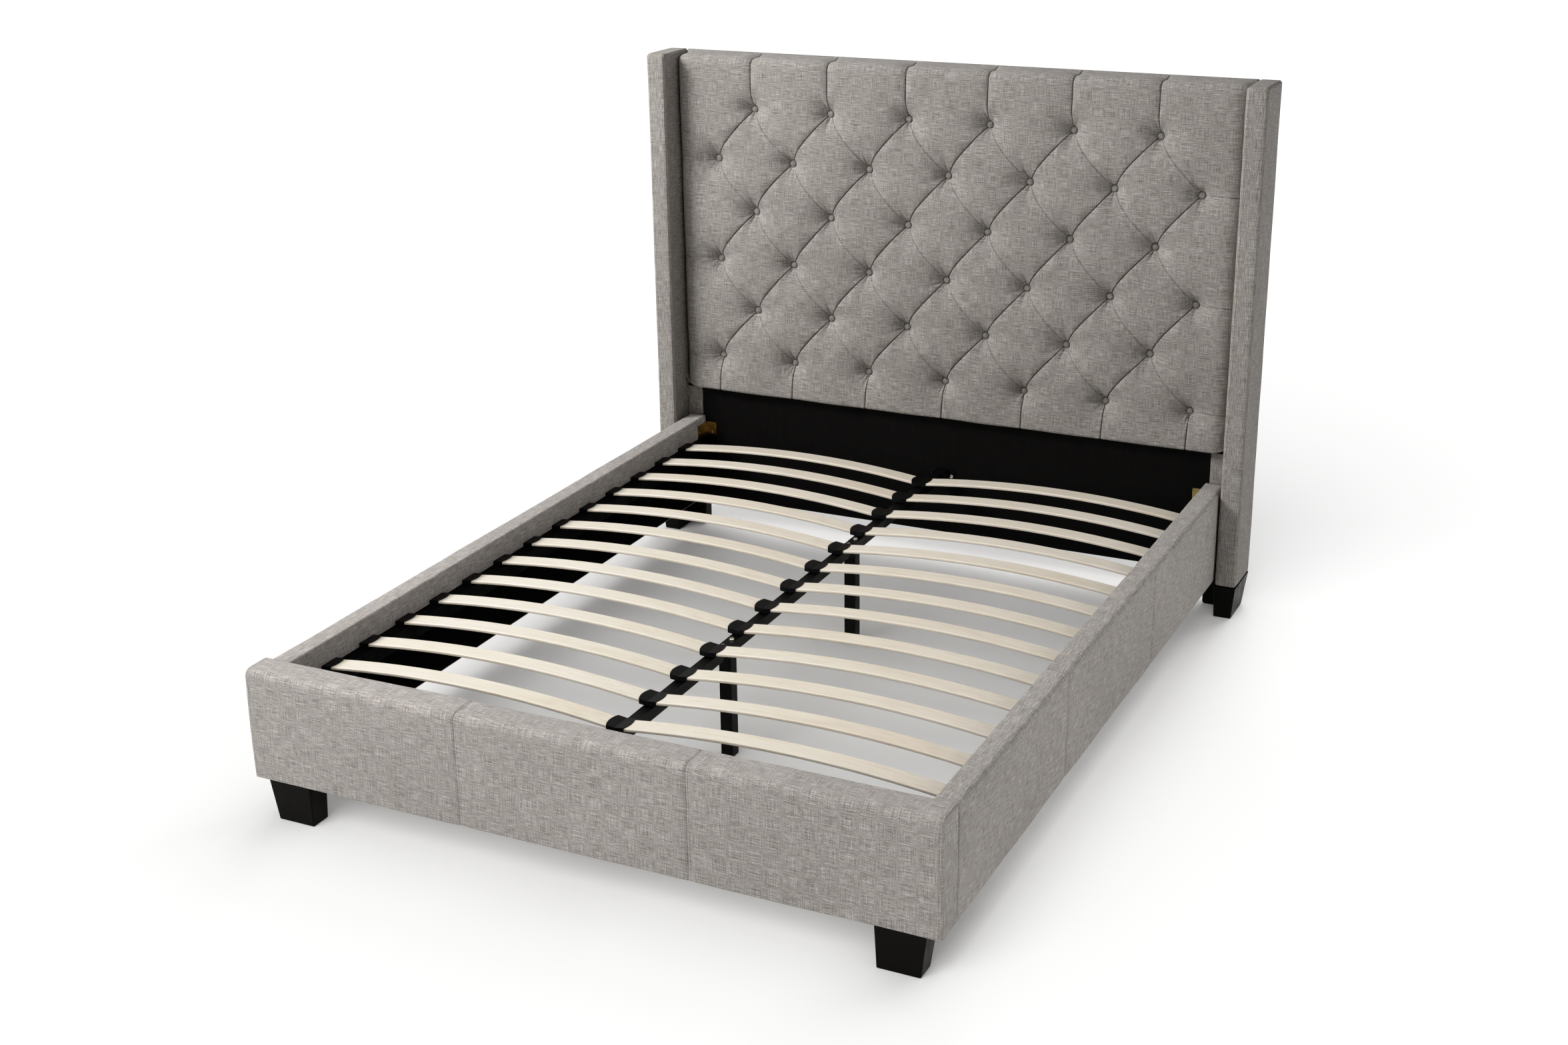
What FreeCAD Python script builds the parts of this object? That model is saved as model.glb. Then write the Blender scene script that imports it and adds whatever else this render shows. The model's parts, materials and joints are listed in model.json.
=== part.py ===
import FreeCAD, Part
import math
import os
import re

from FreeCAD import Placement, Rotation, Vector

# Upholstered wingback bed with a diamond-tufted headboard, a low padded surround and two rows of sprung slats.
# Frame: origin at the middle of the footprint on the floor, +Z up, headboard towards +Y, millimetres.
# Depths named "..._face" or "..._back" are measured from the headboard's rear plane towards the foot.

SIZES = {
    "depth_all": 2190,
    "width_head": 1816,
    "height_head": 1471,
    "fit_gap": 0.5,
    "cover_thick": 4,
    # wings
    "wing_thick": 60,
    "wing_deep": 152,
    "wing_clear": 92,
    "wing_round": 9,
    # tufted pad, board behind it and rear cover
    "pad_clear": 453,
    "pad_deep": 92,
    "pad_over": 28,
    "pad_drop": 2,
    "pad_round": 30,
    "core_face": 30,
    "core_thick": 24,
    "back_thick": 3,
    # covered buttons
    "button_radius": 11,
    "button_tall": 8,
    "button_face": 57,
    "button_well": 13,
    "button_low": 561,
    "button_rise": 150.6,
    "button_pitch": 242,
    # posts and lower panel under the pad
    "post_wide": 51,
    "post_face": 66,
    "post_round": 9,
    "panel_clear": 96,
    # footboard
    "board_half": 846,
    "board_thick": 82.5,
    "board_low": 102,
    "board_top": 374,
    "board_round": 28,
    "board_inset": 8,
    # side rails
    "rail_outer": 843,
    "rail_thick": 57,
    "rail_low": 100,
    "rail_top": 365,
    "rail_round": 14,
    "rail_inset": 5,
    "rail_head": 73,
    "lining_thick": 3,
    # ledges that carry the slat ends
    "ledge_inner": 751,
    "ledge_tall": 42,
    "ledge_head": 140,
    "ledge_foot": 67,
    "slat_seat": 300,
    # tapered feet
    "foot_outer": 810,
    "foot_wide": 114,
    "foot_front": 6,
    "foot_deep": 64,
    "foot_round": 3,
    # corner brackets
    "bracket_thick": 3,
    "bracket_tall": 118,
    "bracket_low": 224,
    "bracket_foot_low": 204,
    "bracket_rail_leaf": 62,
    "bracket_board_leaf": 32,
    "bracket_bolt_inset": 15,
    "bracket_slot_low": 46,
    "bracket_slot_wide": 8,
    "bracket_slot_tall": 22,
    # fasteners
    "bolt_radius": 3,
    "bolt_flange": 7,
    "bolt_hex": 5,
    "bolt_head_tall": 5,
    "bolt_length": 30,
    "leg_bolt_length": 37,
    "screw_radius": 2,
    "screw_head": 6.5,
    "screw_small_head": 4,
    "screw_length": 22,
    # centre rail, its brackets and its legs
    "tube_wide": 27,
    "tube_tall": 26,
    "tube_top": 295,
    "tube_wall": 1.5,
    "hanger_half": 38,
    "hanger_reach": 42,
    "hanger_wall": 3,
    "hanger_round": 6,
    "hanger_screw_inset": 10,
    "hanger_screw_drop": 21,
    "leg_wide": 32,
    "leg_low": 12,
    "leg_plug": 18,
    "leg_plate": 80,
    "leg_plate_thick": 3,
    "leg_bolt_half": 23,
    "leg_first": 725,
    "leg_second": 1457,
    # slats and their caps
    "slat_count": 13,
    "slat_first": 229,
    "slat_pitch": 144.7,
    "slat_wide": 50.5,
    "slat_thick": 8,
    "slat_round": 3,
    "slat_curve": 2960,
    "slat_crown": 334.8,
    "slat_middle": 393,
    "slat_half": 383,
    "cap_wall": 2,
    "cap_gap": 0.25,
    "cap_wide": 54.5,
    "cap_reach": 27,
    "cap_side_reach": 31,
    "cap_foot_long": 34,
    "cap_foot_half": 12,
    "cap_bow": 64,
    "peg_radius": 4,
    "peg_long": 8,
}

doc = FreeCAD.newDocument("WingbackBed")
sheet = doc.addObject("Spreadsheet::Sheet", "Sizes")
for row, (alias, value) in enumerate(SIZES.items(), start=1):
    sheet.set("A%d" % row, alias)
    sheet.set("B%d" % row, str(value))
    sheet.setAlias("B%d" % row, alias)
doc.recompute()

nodes = []
SIDES = {"left": -1, "right": 1}
ENDS = {"head": 1, "foot": -1}


# ---------------------------------------------------------------- helpers


def size(alias):
    """A driving dimension, read back from the sheet."""
    return float(sheet.get(alias))


def linked(expression):
    """The expression with each alias pointed at the sheet."""
    return re.sub(r"[a-z_]+", lambda word: ("Sizes." if word.group(0) in SIZES else "") + word.group(0), expression)


def bind(item, **expressions):
    """Binds properties to expressions; a double underscore stands for a dot."""
    for name, expression in expressions.items():
        item.setExpression(name.replace("__", "."), linked(expression))
    return item


def keep(item, label):
    """Marks an object as a finished sub-part with its own node name."""
    item.Label = label
    nodes.append(item)
    return item


def behind(depth):
    """The Y of a plane that lies this far from the headboard's rear plane."""
    return "depth_all / 2 - (%s)" % depth


def sided(side, near, wide):
    """The lowest X of a block whose near face is this far from the middle plane."""
    if side > 0:
        return near
    return "-(%s) - (%s)" % (near, wide)


def block(x, y, z):
    """A box from three (lowest, span) pairs of expressions."""
    item = doc.addObject("Part::Box", "Block")
    bind(item, Length=x[1], Width=y[1], Height=z[1])
    return bind(item, Placement__Base__x=x[0], Placement__Base__y=y[0], Placement__Base__z=z[0])


def cut(base, tool):
    item = doc.addObject("Part::Cut", "Cut")
    item.Base = base
    item.Tool = tool
    return item


def common(base, tool):
    item = doc.addObject("Part::Common", "Common")
    item.Base = base
    item.Tool = tool
    return item


def fuse(*shapes):
    item = doc.addObject("Part::MultiFuse", "Fuse")
    item.Shapes = list(shapes)
    return item


def rounded(base, radius, wanted):
    """Fillets the edges that wanted(edge) picks out."""
    doc.recompute()
    edges = enumerate(base.Shape.Edges, start=1)
    item = doc.addObject("Part::Fillet", "Rounded")
    item.Base = base
    item.Edges = [(number, radius, radius) for number, edge in edges if wanted(edge)]
    return item


def runs_along(edge, axis):
    """True for an edge that is parallel to the axis (0, 1 or 2)."""
    box = edge.BoundBox
    spans = [box.XLength, box.YLength, box.ZLength]
    return spans[axis] > 1 and max(spans[:axis] + spans[axis + 1:]) < 0.01


def solid_feature(name, shape):
    item = doc.addObject("Part::Feature", name)
    item.Shape = shape
    return item


def group(name, solid, placements):
    """One object that holds a copy of the solid at every placement."""
    copies = []
    for placement in placements:
        copy = solid.copy()
        copy.Placement = placement
        copies.append(copy)
    return solid_feature(name, Part.makeCompound(copies))


def drilled(part, *fasteners):
    """The part with the fasteners' own shape taken out of it."""
    for fastener in fasteners:
        part = cut(part, fastener)
    return part


def slat_depths():
    return [size("slat_first") + size("slat_pitch") * row for row in range(int(size("slat_count")))]


def world_y(depth):
    return size("depth_all") / 2 - depth


# ---------------------------------------------------------------- fasteners


def hex_prism(across, tall):
    corners = [Vector(across * math.cos(a * math.pi / 3), across * math.sin(a * math.pi / 3), 0) for a in range(7)]
    return Part.Face(Part.makePolygon(corners)).extrude(Vector(0, 0, tall))


def flange_bolt(length):
    """A hex flange bolt: seat at the origin, head up, shank down."""
    flange = Part.makeCylinder(size("bolt_flange"), size("bolt_head_tall") / 3)
    head = hex_prism(size("bolt_hex"), size("bolt_head_tall"))
    shank = Part.makeCylinder(size("bolt_radius"), length, Vector(0, 0, -length))
    return flange.fuse([head, shank]).removeSplitter()


def cross_screw(head_radius):
    """A domed screw with a cross recess: seat at the origin, head up, shank down."""
    tall = head_radius * 0.45
    dome = head_radius * 1.2
    head = Part.makeSphere(dome, Vector(0, 0, tall - dome)).common(Part.makeCylinder(head_radius, tall))
    slot_wide = head_radius * 0.22
    slot_long = head_radius * 1.1
    for long_x, long_y in ((slot_long, slot_wide), (slot_wide, slot_long)):
        corner = Vector(-long_x / 2, -long_y / 2, tall * 0.45)
        head = head.cut(Part.makeBox(long_x, long_y, tall, corner))
    length = size("screw_length")
    shank = Part.makeCylinder(size("screw_radius"), length, Vector(0, 0, -length))
    return head.fuse(shank).removeSplitter()


def plate_depths(thick):
    """How deep a plate's exposed face lies when it is fixed to the head panel and to the footboard."""
    return {1: size("post_face") + thick, -1: size("depth_all") - size("board_thick") - thick}


def corner_bolt_places():
    """Two bolts through each leaf of each corner bracket."""
    lows = {1: size("bracket_low"), -1: size("bracket_foot_low")}
    tall = size("bracket_tall")
    rail_face = size("rail_outer") - size("rail_thick") - size("bracket_thick")
    planes = plate_depths(size("bracket_thick"))
    places = []
    for side in SIDES.values():
        for end in ENDS.values():
            inward = Rotation(Vector(0, 0, 1), Vector(-side, 0, 0))
            low = lows[end]
            for along, up in ((0.37, 0.52), (0.8, 0.8)):
                depth = planes[end] + end * along * size("bracket_rail_leaf")
                places.append(Placement(Vector(side * rail_face, world_y(depth), low + up * tall), inward))
            into_bed = Rotation(Vector(0, 0, 1), Vector(0, -end, 0))
            for up in (0.16, 0.7):
                across = rail_face - size("bracket_bolt_inset")
                places.append(Placement(Vector(side * across, world_y(planes[end]), low + up * tall), into_bed))
    return places


def hanger_screw_places():
    """One screw through each ear of the two centre brackets."""
    places = []
    reach = size("hanger_half") - size("hanger_screw_inset")
    height = size("tube_top") - size("hanger_screw_drop")
    for end, depth in plate_depths(size("hanger_wall")).items():
        turn = Rotation(Vector(0, 0, 1), Vector(0, -end, 0))
        for side in SIDES.values():
            places.append(Placement(Vector(side * reach, world_y(depth), height), turn))
    return places


def leg_bolt_places():
    places = []
    for leg in ("leg_first", "leg_second"):
        for step in (-1, 1):
            depth = size(leg) + step * size("leg_bolt_half")
            places.append(Placement(Vector(0, world_y(depth), size("tube_top")), Rotation()))
    return places


def ledge_screw_places():
    """One screw between each pair of slats on both ledges."""
    middle = (size("ledge_inner") + size("rail_outer") - size("rail_thick")) / 2
    places = []
    for depth in slat_depths()[:-1]:
        for side in SIDES.values():
            spot = Vector(side * middle, world_y(depth + size("slat_pitch") / 2), size("slat_seat"))
            places.append(Placement(spot, Rotation()))
    return places


corner_bolts = keep(group("CornerBolts", flange_bolt(size("bolt_length")), corner_bolt_places()),
                    "corner_bracket_bolts")
hanger_screws = keep(group("HangerScrews", cross_screw(size("screw_head")), hanger_screw_places()),
                     "centre_bracket_screws")
leg_bolts = keep(group("LegBolts", flange_bolt(size("leg_bolt_length")), leg_bolt_places()),
                 "support_leg_bolts")
ledge_screws = keep(group("LedgeScrews", cross_screw(size("screw_small_head")), ledge_screw_places()),
                    "ledge_screws")


def leg_nuts():
    """A hex nut under the plate of each support leg bolt."""
    tall = size("bolt_head_tall")
    nut = hex_prism(size("bolt_hex"), tall).cut(Part.makeCylinder(size("bolt_radius"), tall))
    below = size("tube_top") - size("tube_tall") - size("leg_plate_thick") - tall
    places = [Placement(Vector(p.Base.x, p.Base.y, below), Rotation()) for p in leg_bolt_places()]
    return group("LegNuts", nut, places)


keep(leg_nuts(), "support_leg_nuts")


# ---------------------------------------------------------------- headboard


INNER_HALF = "width_head / 2 - wing_thick - fit_gap"


def full_width():
    """The (lowest, span) pair of a board that fills the space between the wings."""
    return ("-(%s)" % INNER_HALF, "2 * (%s)" % INNER_HALF)


def button_places():
    """Six rows of buttons that alternate between seven and six, bottom row first."""
    facing = Rotation(Vector(0, 0, 1), Vector(0, -1, 0))
    places = []
    for row in range(6):
        count = 7 - row % 2
        for column in range(count):
            across = (column - (count - 1) / 2) * size("button_pitch")
            up = size("button_low") + row * size("button_rise")
            places.append(Placement(Vector(across, world_y(size("button_face")), up), facing))
    return places


def button():
    """A domed disc with its front at the origin."""
    radius = size("button_radius")
    tall = size("button_tall")
    disc = Part.makeCylinder(radius, tall, Vector(0, 0, -tall))
    return disc.makeFillet(tall * 0.45, [e for e in disc.Edges if e.BoundBox.ZMin > -1 and e.BoundBox.ZLength < 0.01])


def headboard():
    top = "height_head - pad_drop"
    core = block(full_width(), (behind("core_face"), "core_thick"),
                 ("panel_clear", "%s - pad_over - panel_clear" % top))
    keep(core, "headboard_core")
    rear = block(full_width(), (behind("core_face - core_thick"), "back_thick"),
                 ("panel_clear", "%s - pad_over - panel_clear" % top))
    keep(rear, "headboard_back_cover")

    slab = block(full_width(), (behind("pad_deep"), "pad_deep - back_thick"), ("pad_clear", "%s - pad_clear" % top))
    crest = size("height_head") - size("pad_drop")
    front = world_y(size("pad_deep"))
    slab = rounded(slab, size("pad_round"),
                   lambda e: runs_along(e, 0) and e.BoundBox.ZMin > crest - 1 and e.BoundBox.YMax < front + 1)
    recess = block(("-width_head / 2", "width_head"), (behind("core_face"), "core_face"),
                   ("pad_clear - 1", "%s - pad_over - pad_clear + 1" % top))
    buttons = keep(group("Buttons", button(), button_places()), "headboard_buttons")
    depth = size("pad_deep") - size("button_face") + size("button_tall")
    well = Part.makeCylinder(size("button_well"), depth, Vector(0, 0, -size("button_tall")))
    wells = group("ButtonWells", well, button_places())
    keep(cut(cut(slab, recess), wells), "headboard_pad")

    for name, side in SIDES.items():
        post_near = "%s + fit_gap - post_wide" % INNER_HALF
        post = block((sided(side, post_near, "post_wide"), "post_wide"),
                     (behind("post_face"), "post_face - core_face"), ("0", "pad_clear - fit_gap"))
        post = rounded(post, size("post_round"), lambda e: runs_along(e, 1) and e.BoundBox.ZMax < 1)
        keep(post, "headboard_post_" + name)
        strip = block((sided(side, post_near, "post_wide"), "post_wide"),
                      (behind("post_face + cover_thick"), "cover_thick"),
                      ("panel_clear", "pad_clear - fit_gap - panel_clear"))
        keep(strip, "post_cover_" + name)

    panel_half = "%s + fit_gap - post_wide" % INNER_HALF
    panel = block(("-(%s)" % panel_half, "2 * (%s)" % panel_half), (behind("post_face"), "post_face - core_face"),
                  ("panel_clear", "pad_clear - fit_gap - panel_clear"))
    keep(drilled(panel, corner_bolts, hanger_screws), "lower_panel")
    return buttons


def wings():
    near = "width_head / 2 - wing_thick"
    for name, side in SIDES.items():
        cover = block((sided(side, near, "wing_thick"), "wing_thick"), (behind("wing_deep"), "wing_deep"),
                      ("wing_clear", "height_head - wing_clear"))
        top = size("height_head")
        cover = rounded(cover, size("wing_round"), lambda e: runs_along(e, 2) or e.BoundBox.ZMin > top - 1)
        inner_wide = "wing_thick - 2 * cover_thick"
        core = block((sided(side, near + " + cover_thick", inner_wide), inner_wide),
                     (behind("wing_deep - cover_thick"), "wing_deep - 2 * cover_thick"),
                     ("wing_clear + cover_thick", "height_head - wing_clear - 2 * cover_thick"))
        keep(core, "wing_core_" + name)
        keep(cut(cover, core), "wing_cover_" + name)


def tapered_foot(side, top, bottom, tall):
    """A four-sided foot. top and bottom are ((near, far) from the middle plane, (near, far) from the rear plane)."""
    foot = doc.addObject("Part::Wedge", "Foot")
    bind(foot, Ymin="0", Ymax=tall)
    for names, (across, depths) in ((("Xmin", "Xmax", "Zmin", "Zmax"), bottom),
                                    (("X2min", "X2max", "Z2min", "Z2max"), top)):
        low, high = across
        if side < 0:
            low, high = "-(%s)" % across[1], "-(%s)" % across[0]
        near, far = ("%s - depth_all / 2" % depth for depth in depths)
        bind(foot, **dict(zip(names, (low, high, near, far))))
    foot.Placement = Placement(Vector(0, 0, 0), Rotation(Vector(1, 0, 0), 90))
    return rounded(foot, size("foot_round"), lambda e: e.BoundBox.ZLength > 1 or e.BoundBox.ZMax < 1)


def feet():
    board_back = "depth_all - foot_front"
    for name, side in SIDES.items():
        rear_top = (("width_head / 2 - wing_thick", "width_head / 2"), ("0", "wing_deep"))
        rear_low = (("width_head / 2 - wing_thick + 2", "width_head / 2 - 9"), ("27", "wing_deep - 4"))
        keep(tapered_foot(side, rear_top, rear_low, "wing_clear"), "rear_foot_" + name)
        front_top = (("foot_outer - foot_wide", "foot_outer"), (board_back + " - foot_deep", board_back))
        front_low = (("foot_outer - foot_wide + 3", "foot_outer - 14"),
                     (board_back + " - foot_deep + 5", board_back + " - 6"))
        keep(tapered_foot(side, front_top, front_low, "board_low"), "front_foot_" + name)


# ---------------------------------------------------------------- footboard and side rails


def footboard():
    cover = block(("-board_half", "2 * board_half"), ("-depth_all / 2", "board_thick"),
                  ("board_low", "board_top - board_low"))
    top = size("board_top")
    front = -size("depth_all") / 2
    cover = rounded(cover, size("board_round"),
                    lambda e: runs_along(e, 0) and e.BoundBox.ZMin > top - 1 and e.BoundBox.YMax < front + 1)
    cover = rounded(cover, size("cover_thick"),
                    lambda e: runs_along(e, 2) or (runs_along(e, 0) and e.BoundBox.ZMax < size("board_low") + 1))
    core = block(("-board_half + board_inset", "2 * (board_half - board_inset)"),
                 ("-depth_all / 2 + board_inset", "board_thick - board_inset - cover_thick"),
                 ("board_low + cover_thick", "board_top - board_low - board_inset - cover_thick"))
    bevel = size("board_round") - size("board_inset")
    core = rounded(core, bevel, lambda e: runs_along(e, 0) and e.BoundBox.ZMin > top - size("board_inset") - 1
                   and e.BoundBox.YMax < front + size("board_inset") + 1)
    keep(drilled(core, corner_bolts, hanger_screws), "footboard_core")
    keep(drilled(cut(cover, core), corner_bolts, hanger_screws), "footboard_cover")


def side_rails():
    length = "depth_all - board_thick - fit_gap - rail_head"
    start = "-depth_all / 2 + board_thick + fit_gap"
    inner = "rail_outer - rail_thick"
    for name, side in SIDES.items():
        cover = block((sided(side, inner, "rail_thick"), "rail_thick"), (start, length),
                      ("rail_low", "rail_top - rail_low"))
        top = size("rail_top")
        cover = rounded(cover, size("rail_round"), lambda e: runs_along(e, 1) and e.BoundBox.ZMin > top - 1)
        core_wide = "rail_thick - 2 * rail_inset"
        core = block((sided(side, inner + " + rail_inset", core_wide), core_wide), (start, length),
                     ("rail_low + cover_thick", "rail_top - rail_low - cover_thick - rail_inset"))
        core = rounded(core, size("rail_round") - size("rail_inset"),
                       lambda e: runs_along(e, 1) and e.BoundBox.ZMin > top - size("rail_inset") - 1)
        keep(drilled(core, corner_bolts), "side_rail_core_" + name)
        below_ledge = block((sided(side, inner + " - 1", "rail_inset + 1"), "rail_inset + 1"),
                            (start + " - 1", length + " + 2"), ("rail_low - 1", "slat_seat - rail_low + 1"))
        keep(drilled(cut(cut(cover, core), below_ledge), corner_bolts), "side_rail_cover_" + name)

        lining = block((sided(side, inner + " + rail_inset - lining_thick", "lining_thick"), "lining_thick"),
                       (start, length), ("rail_low + cover_thick", "slat_seat - ledge_tall - rail_low - cover_thick"))
        keep(drilled(lining, corner_bolts), "side_rail_lining_" + name)
        ledge_wide = inner + " + rail_inset - ledge_inner"
        ledge = block((sided(side, "ledge_inner", ledge_wide), ledge_wide),
                      (start + " + ledge_foot", length + " - ledge_foot - ledge_head + rail_head"),
                      ("slat_seat - ledge_tall", "ledge_tall"))
        keep(drilled(ledge, ledge_screws), "slat_ledge_" + name)


def corner_brackets():
    """An angle plate in each inner corner: one leaf on the rail, one on the head panel or footboard."""
    face = "rail_outer - rail_thick - bracket_thick"
    for end_name, end in ENDS.items():
        if end > 0:
            plane = behind("post_face + bracket_thick")
            leaf_start = behind("post_face + bracket_rail_leaf")
            low = "bracket_low"
        else:
            plane = "-depth_all / 2 + board_thick"
            leaf_start = plane
            low = "bracket_foot_low"
        for side_name, side in SIDES.items():
            height = (low, "bracket_tall")
            rail_leaf = block((sided(side, face, "bracket_thick"), "bracket_thick"),
                              (leaf_start, "bracket_rail_leaf"), height)
            board_leaf = block((sided(side, face + " - bracket_board_leaf", "bracket_board_leaf + bracket_thick"),
                                "bracket_board_leaf + bracket_thick"), (plane, "bracket_thick"), height)
            slot_near = face + " - bracket_bolt_inset - bracket_slot_wide / 2"
            slot = block((sided(side, slot_near, "bracket_slot_wide"), "bracket_slot_wide"),
                         (plane + " - 1", "bracket_thick + 2"),
                         (low + " + bracket_slot_low", "bracket_slot_tall"))
            plate = cut(fuse(rail_leaf, board_leaf), slot)
            keep(drilled(plate, corner_bolts), "corner_bracket_%s_%s" % (end_name, side_name))


# ---------------------------------------------------------------- centre rail


def centre_rail(pegged_caps):
    start = "-depth_all / 2 + board_thick + hanger_wall + fit_gap"
    length = "depth_all - board_thick - post_face - 2 * (hanger_wall + fit_gap)"
    outer = block(("-tube_wide / 2", "tube_wide"), (start, length), ("tube_top - tube_tall", "tube_tall"))
    hollow = block(("-tube_wide / 2 + tube_wall", "tube_wide - 2 * tube_wall"), (start + " - 1", length + " + 2"),
                   ("tube_top - tube_tall + tube_wall", "tube_tall - 2 * tube_wall"))
    tube = cut(outer, hollow)
    keep(drilled(tube, leg_bolts, pegged_caps), "centre_rail")

    for end_name, end in ENDS.items():
        if end > 0:
            plane = behind("post_face + hanger_wall")
            seat_start = behind("post_face + hanger_reach")
        else:
            plane = "-depth_all / 2 + board_thick"
            seat_start = plane
        plate = block(("-hanger_half", "2 * hanger_half"), (plane, "hanger_wall"),
                      ("tube_top - tube_tall - hanger_wall", "tube_tall + hanger_wall"))
        plate = rounded(plate, size("hanger_round"), lambda e: runs_along(e, 1))
        channel_half = "tube_wide / 2 + fit_gap + hanger_wall"
        channel = block(("-(%s)" % channel_half, "2 * (%s)" % channel_half), (seat_start, "hanger_reach"),
                        ("tube_top - tube_tall - hanger_wall", "tube_tall + hanger_wall"))
        # the trough stops at the back plate, which closes its end
        trough_start = seat_start + " - 1" if end > 0 else plane + " + hanger_wall"
        trough = block(("-tube_wide / 2 - fit_gap", "tube_wide + 2 * fit_gap"),
                       (trough_start, "hanger_reach - hanger_wall + 1"), ("tube_top - tube_tall", "tube_tall + 1"))
        keep(drilled(cut(fuse(plate, channel), trough), hanger_screws), "centre_bracket_" + end_name)


def support_legs():
    """Square tube legs with a bolted top plate, and a plug-in end cap in the foot of each."""
    leg_top = "tube_top - tube_tall - leg_plate_thick"
    inner = "leg_wide - 2 * tube_wall"
    for name, depth in (("head", "leg_first"), ("foot", "leg_second")):
        middle = behind(depth)

        def square(wide, low, tall):
            return block(("-(%s) / 2" % wide, wide), (middle + " - (%s) / 2" % wide, wide), (low, tall))

        tube = square("leg_wide", "leg_low", leg_top + " - leg_low")
        tube = rounded(tube, size("tube_wall"), lambda e: runs_along(e, 2))
        tube = cut(tube, square(inner, "leg_low - 1", leg_top + " - leg_low + 1"))
        plate = block(("-leg_wide / 2", "leg_wide"), (middle + " - leg_plate / 2", "leg_plate"),
                      (leg_top, "leg_plate_thick"))
        keep(drilled(fuse(tube, plate), leg_bolts), "support_leg_" + name)

        cap = rounded(square("leg_wide", "0", "leg_low"), size("tube_wall"), lambda e: runs_along(e, 2))
        plug = square(inner + " - 2 * cap_gap", "leg_low", "leg_plug")
        keep(fuse(cap, plug), "support_leg_cap_" + name)


# ---------------------------------------------------------------- slats and caps


def bowed_band(low_x, span_x, wide, grow):
    """A bowed strip over the right-hand slat's arc, thicker than the slat by grow on each face."""
    def cylinder(radius):
        item = doc.addObject("Part::Cylinder", "Bow")
        bind(item, Radius=radius, Height=wide, Placement__Base__x="slat_middle",
             Placement__Base__y="(%s) / 2" % wide, Placement__Base__z="slat_crown - slat_curve")
        item.Placement.Rotation = Rotation(Vector(1, 0, 0), 90)
        return item
    ring = cut(cylinder("slat_curve + %s" % grow), cylinder("slat_curve - slat_thick - (%s)" % grow))
    window = block((low_x, span_x), ("-(%s)" % wide, "2 * (%s)" % wide), ("slat_seat", "slat_crown - slat_seat + 20"))
    return common(ring, window)


def mirrored(item):
    mirror = doc.addObject("Part::Mirroring", "Mirrored")
    mirror.Source = item
    mirror.Normal = Vector(1, 0, 0)
    return mirror


def slat_section():
    """The slat's cross-section at its crown: a flat oblong with rounded long edges."""
    corner = size("slat_round")
    half = size("slat_wide") / 2
    top = size("slat_crown")
    low = top - size("slat_thick")
    bend = corner * math.sqrt(0.5)
    across = size("slat_middle")
    # each corner: where the arc starts, its middle and its end, anticlockwise from the lower right
    arcs = []
    for side, level, turn in ((1, low, -1), (1, top, 1), (-1, top, 1), (-1, low, -1)):
        y = side * (half - corner)
        z = level - turn * corner
        flat = Vector(across, y, z + turn * corner)
        upright = Vector(across, y + side * corner, z)
        middle = Vector(across, y + side * bend, z + turn * bend)
        arcs.append((flat, middle, upright) if side * turn < 0 else (upright, middle, flat))
    edges = []
    for number, (start, middle, end) in enumerate(arcs):
        edges.append(Part.Arc(start, middle, end).toShape())
        edges.append(Part.makeLine(end, arcs[(number + 1) % 4][0]))
    return solid_feature("SlatSection", Part.Face(Part.Wire(edges)))


def slats():
    """One pair of bowed slats per row, left and right of the centre rail."""
    right = doc.addObject("Part::Revolution", "BowedSlat")
    right.Source = slat_section()
    right.Axis = Vector(0, 1, 0)
    right.Solid = True
    right.Symmetric = True
    bind(right, Base__x="slat_middle", Base__z="slat_crown - slat_curve",
         Angle="2 * asin(slat_half / slat_curve)")
    left = mirrored(right)
    for row in range(int(size("slat_count"))):
        pair = doc.addObject("Part::Compound", "SlatRow")
        pair.Links = [left, right]
        bind(pair, Placement__Base__y=behind("slat_first + slat_pitch * %d" % row))
        keep(pair, "slat_row_%02d" % (row + 1))


def caps():
    """Slat caps: double ones on the centre rail, single ones on the ledges."""
    slat_space = bowed_band("slat_middle - slat_half - cap_gap", "2 * (slat_half + cap_gap)",
                            "slat_wide + 2 * cap_gap", "cap_gap")

    def bow(middle):
        """Plan outline of a cap's mouth, a gentle arc across the slat."""
        item = doc.addObject("Part::Cylinder", "Mouth")
        return bind(item, Radius="cap_bow", Height="slat_crown + 40", Placement__Base__x=middle)

    centre_right = common(bowed_band("0", "cap_reach", "cap_wide", "cap_wall"), bow("cap_reach - cap_bow"))
    centre_right = cut(centre_right, slat_space)
    peg = doc.addObject("Part::Cylinder", "Peg")
    bind(peg, Radius="peg_radius", Height="peg_long", Placement__Base__z="tube_top - peg_long")
    foot = block(("-cap_foot_half", "2 * cap_foot_half"), ("-cap_foot_long / 2", "cap_foot_long"),
                 ("tube_top", "slat_seat - tube_top + 0.5"))
    centre = fuse(centre_right, mirrored(centre_right), foot, peg)

    rail_face = "rail_outer - rail_thick"
    mouth = "slat_middle * 2 - cap_side_reach"
    side_right = common(bowed_band(mouth, rail_face + " - fit_gap - (%s)" % mouth, "cap_wide", "cap_wall"),
                        bow(mouth + " + cap_bow"))
    side_right = cut(side_right, slat_space)
    side_left = mirrored(side_right)
    doc.recompute()
    rows = [Placement(Vector(0, world_y(depth), 0), Rotation()) for depth in slat_depths()]
    keep(group("SideCapsLeft", side_left.Shape, rows), "side_caps_left")
    keep(group("SideCapsRight", side_right.Shape, rows), "side_caps_right")
    return keep(group("CentreCaps", centre.Shape, rows), "centre_caps")


headboard()
wings()
feet()
footboard()
side_rails()
corner_brackets()
slats()
centre_rail(caps())
support_legs()
doc.recompute()


# ---------------------------------------------------------------- check and write


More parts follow.
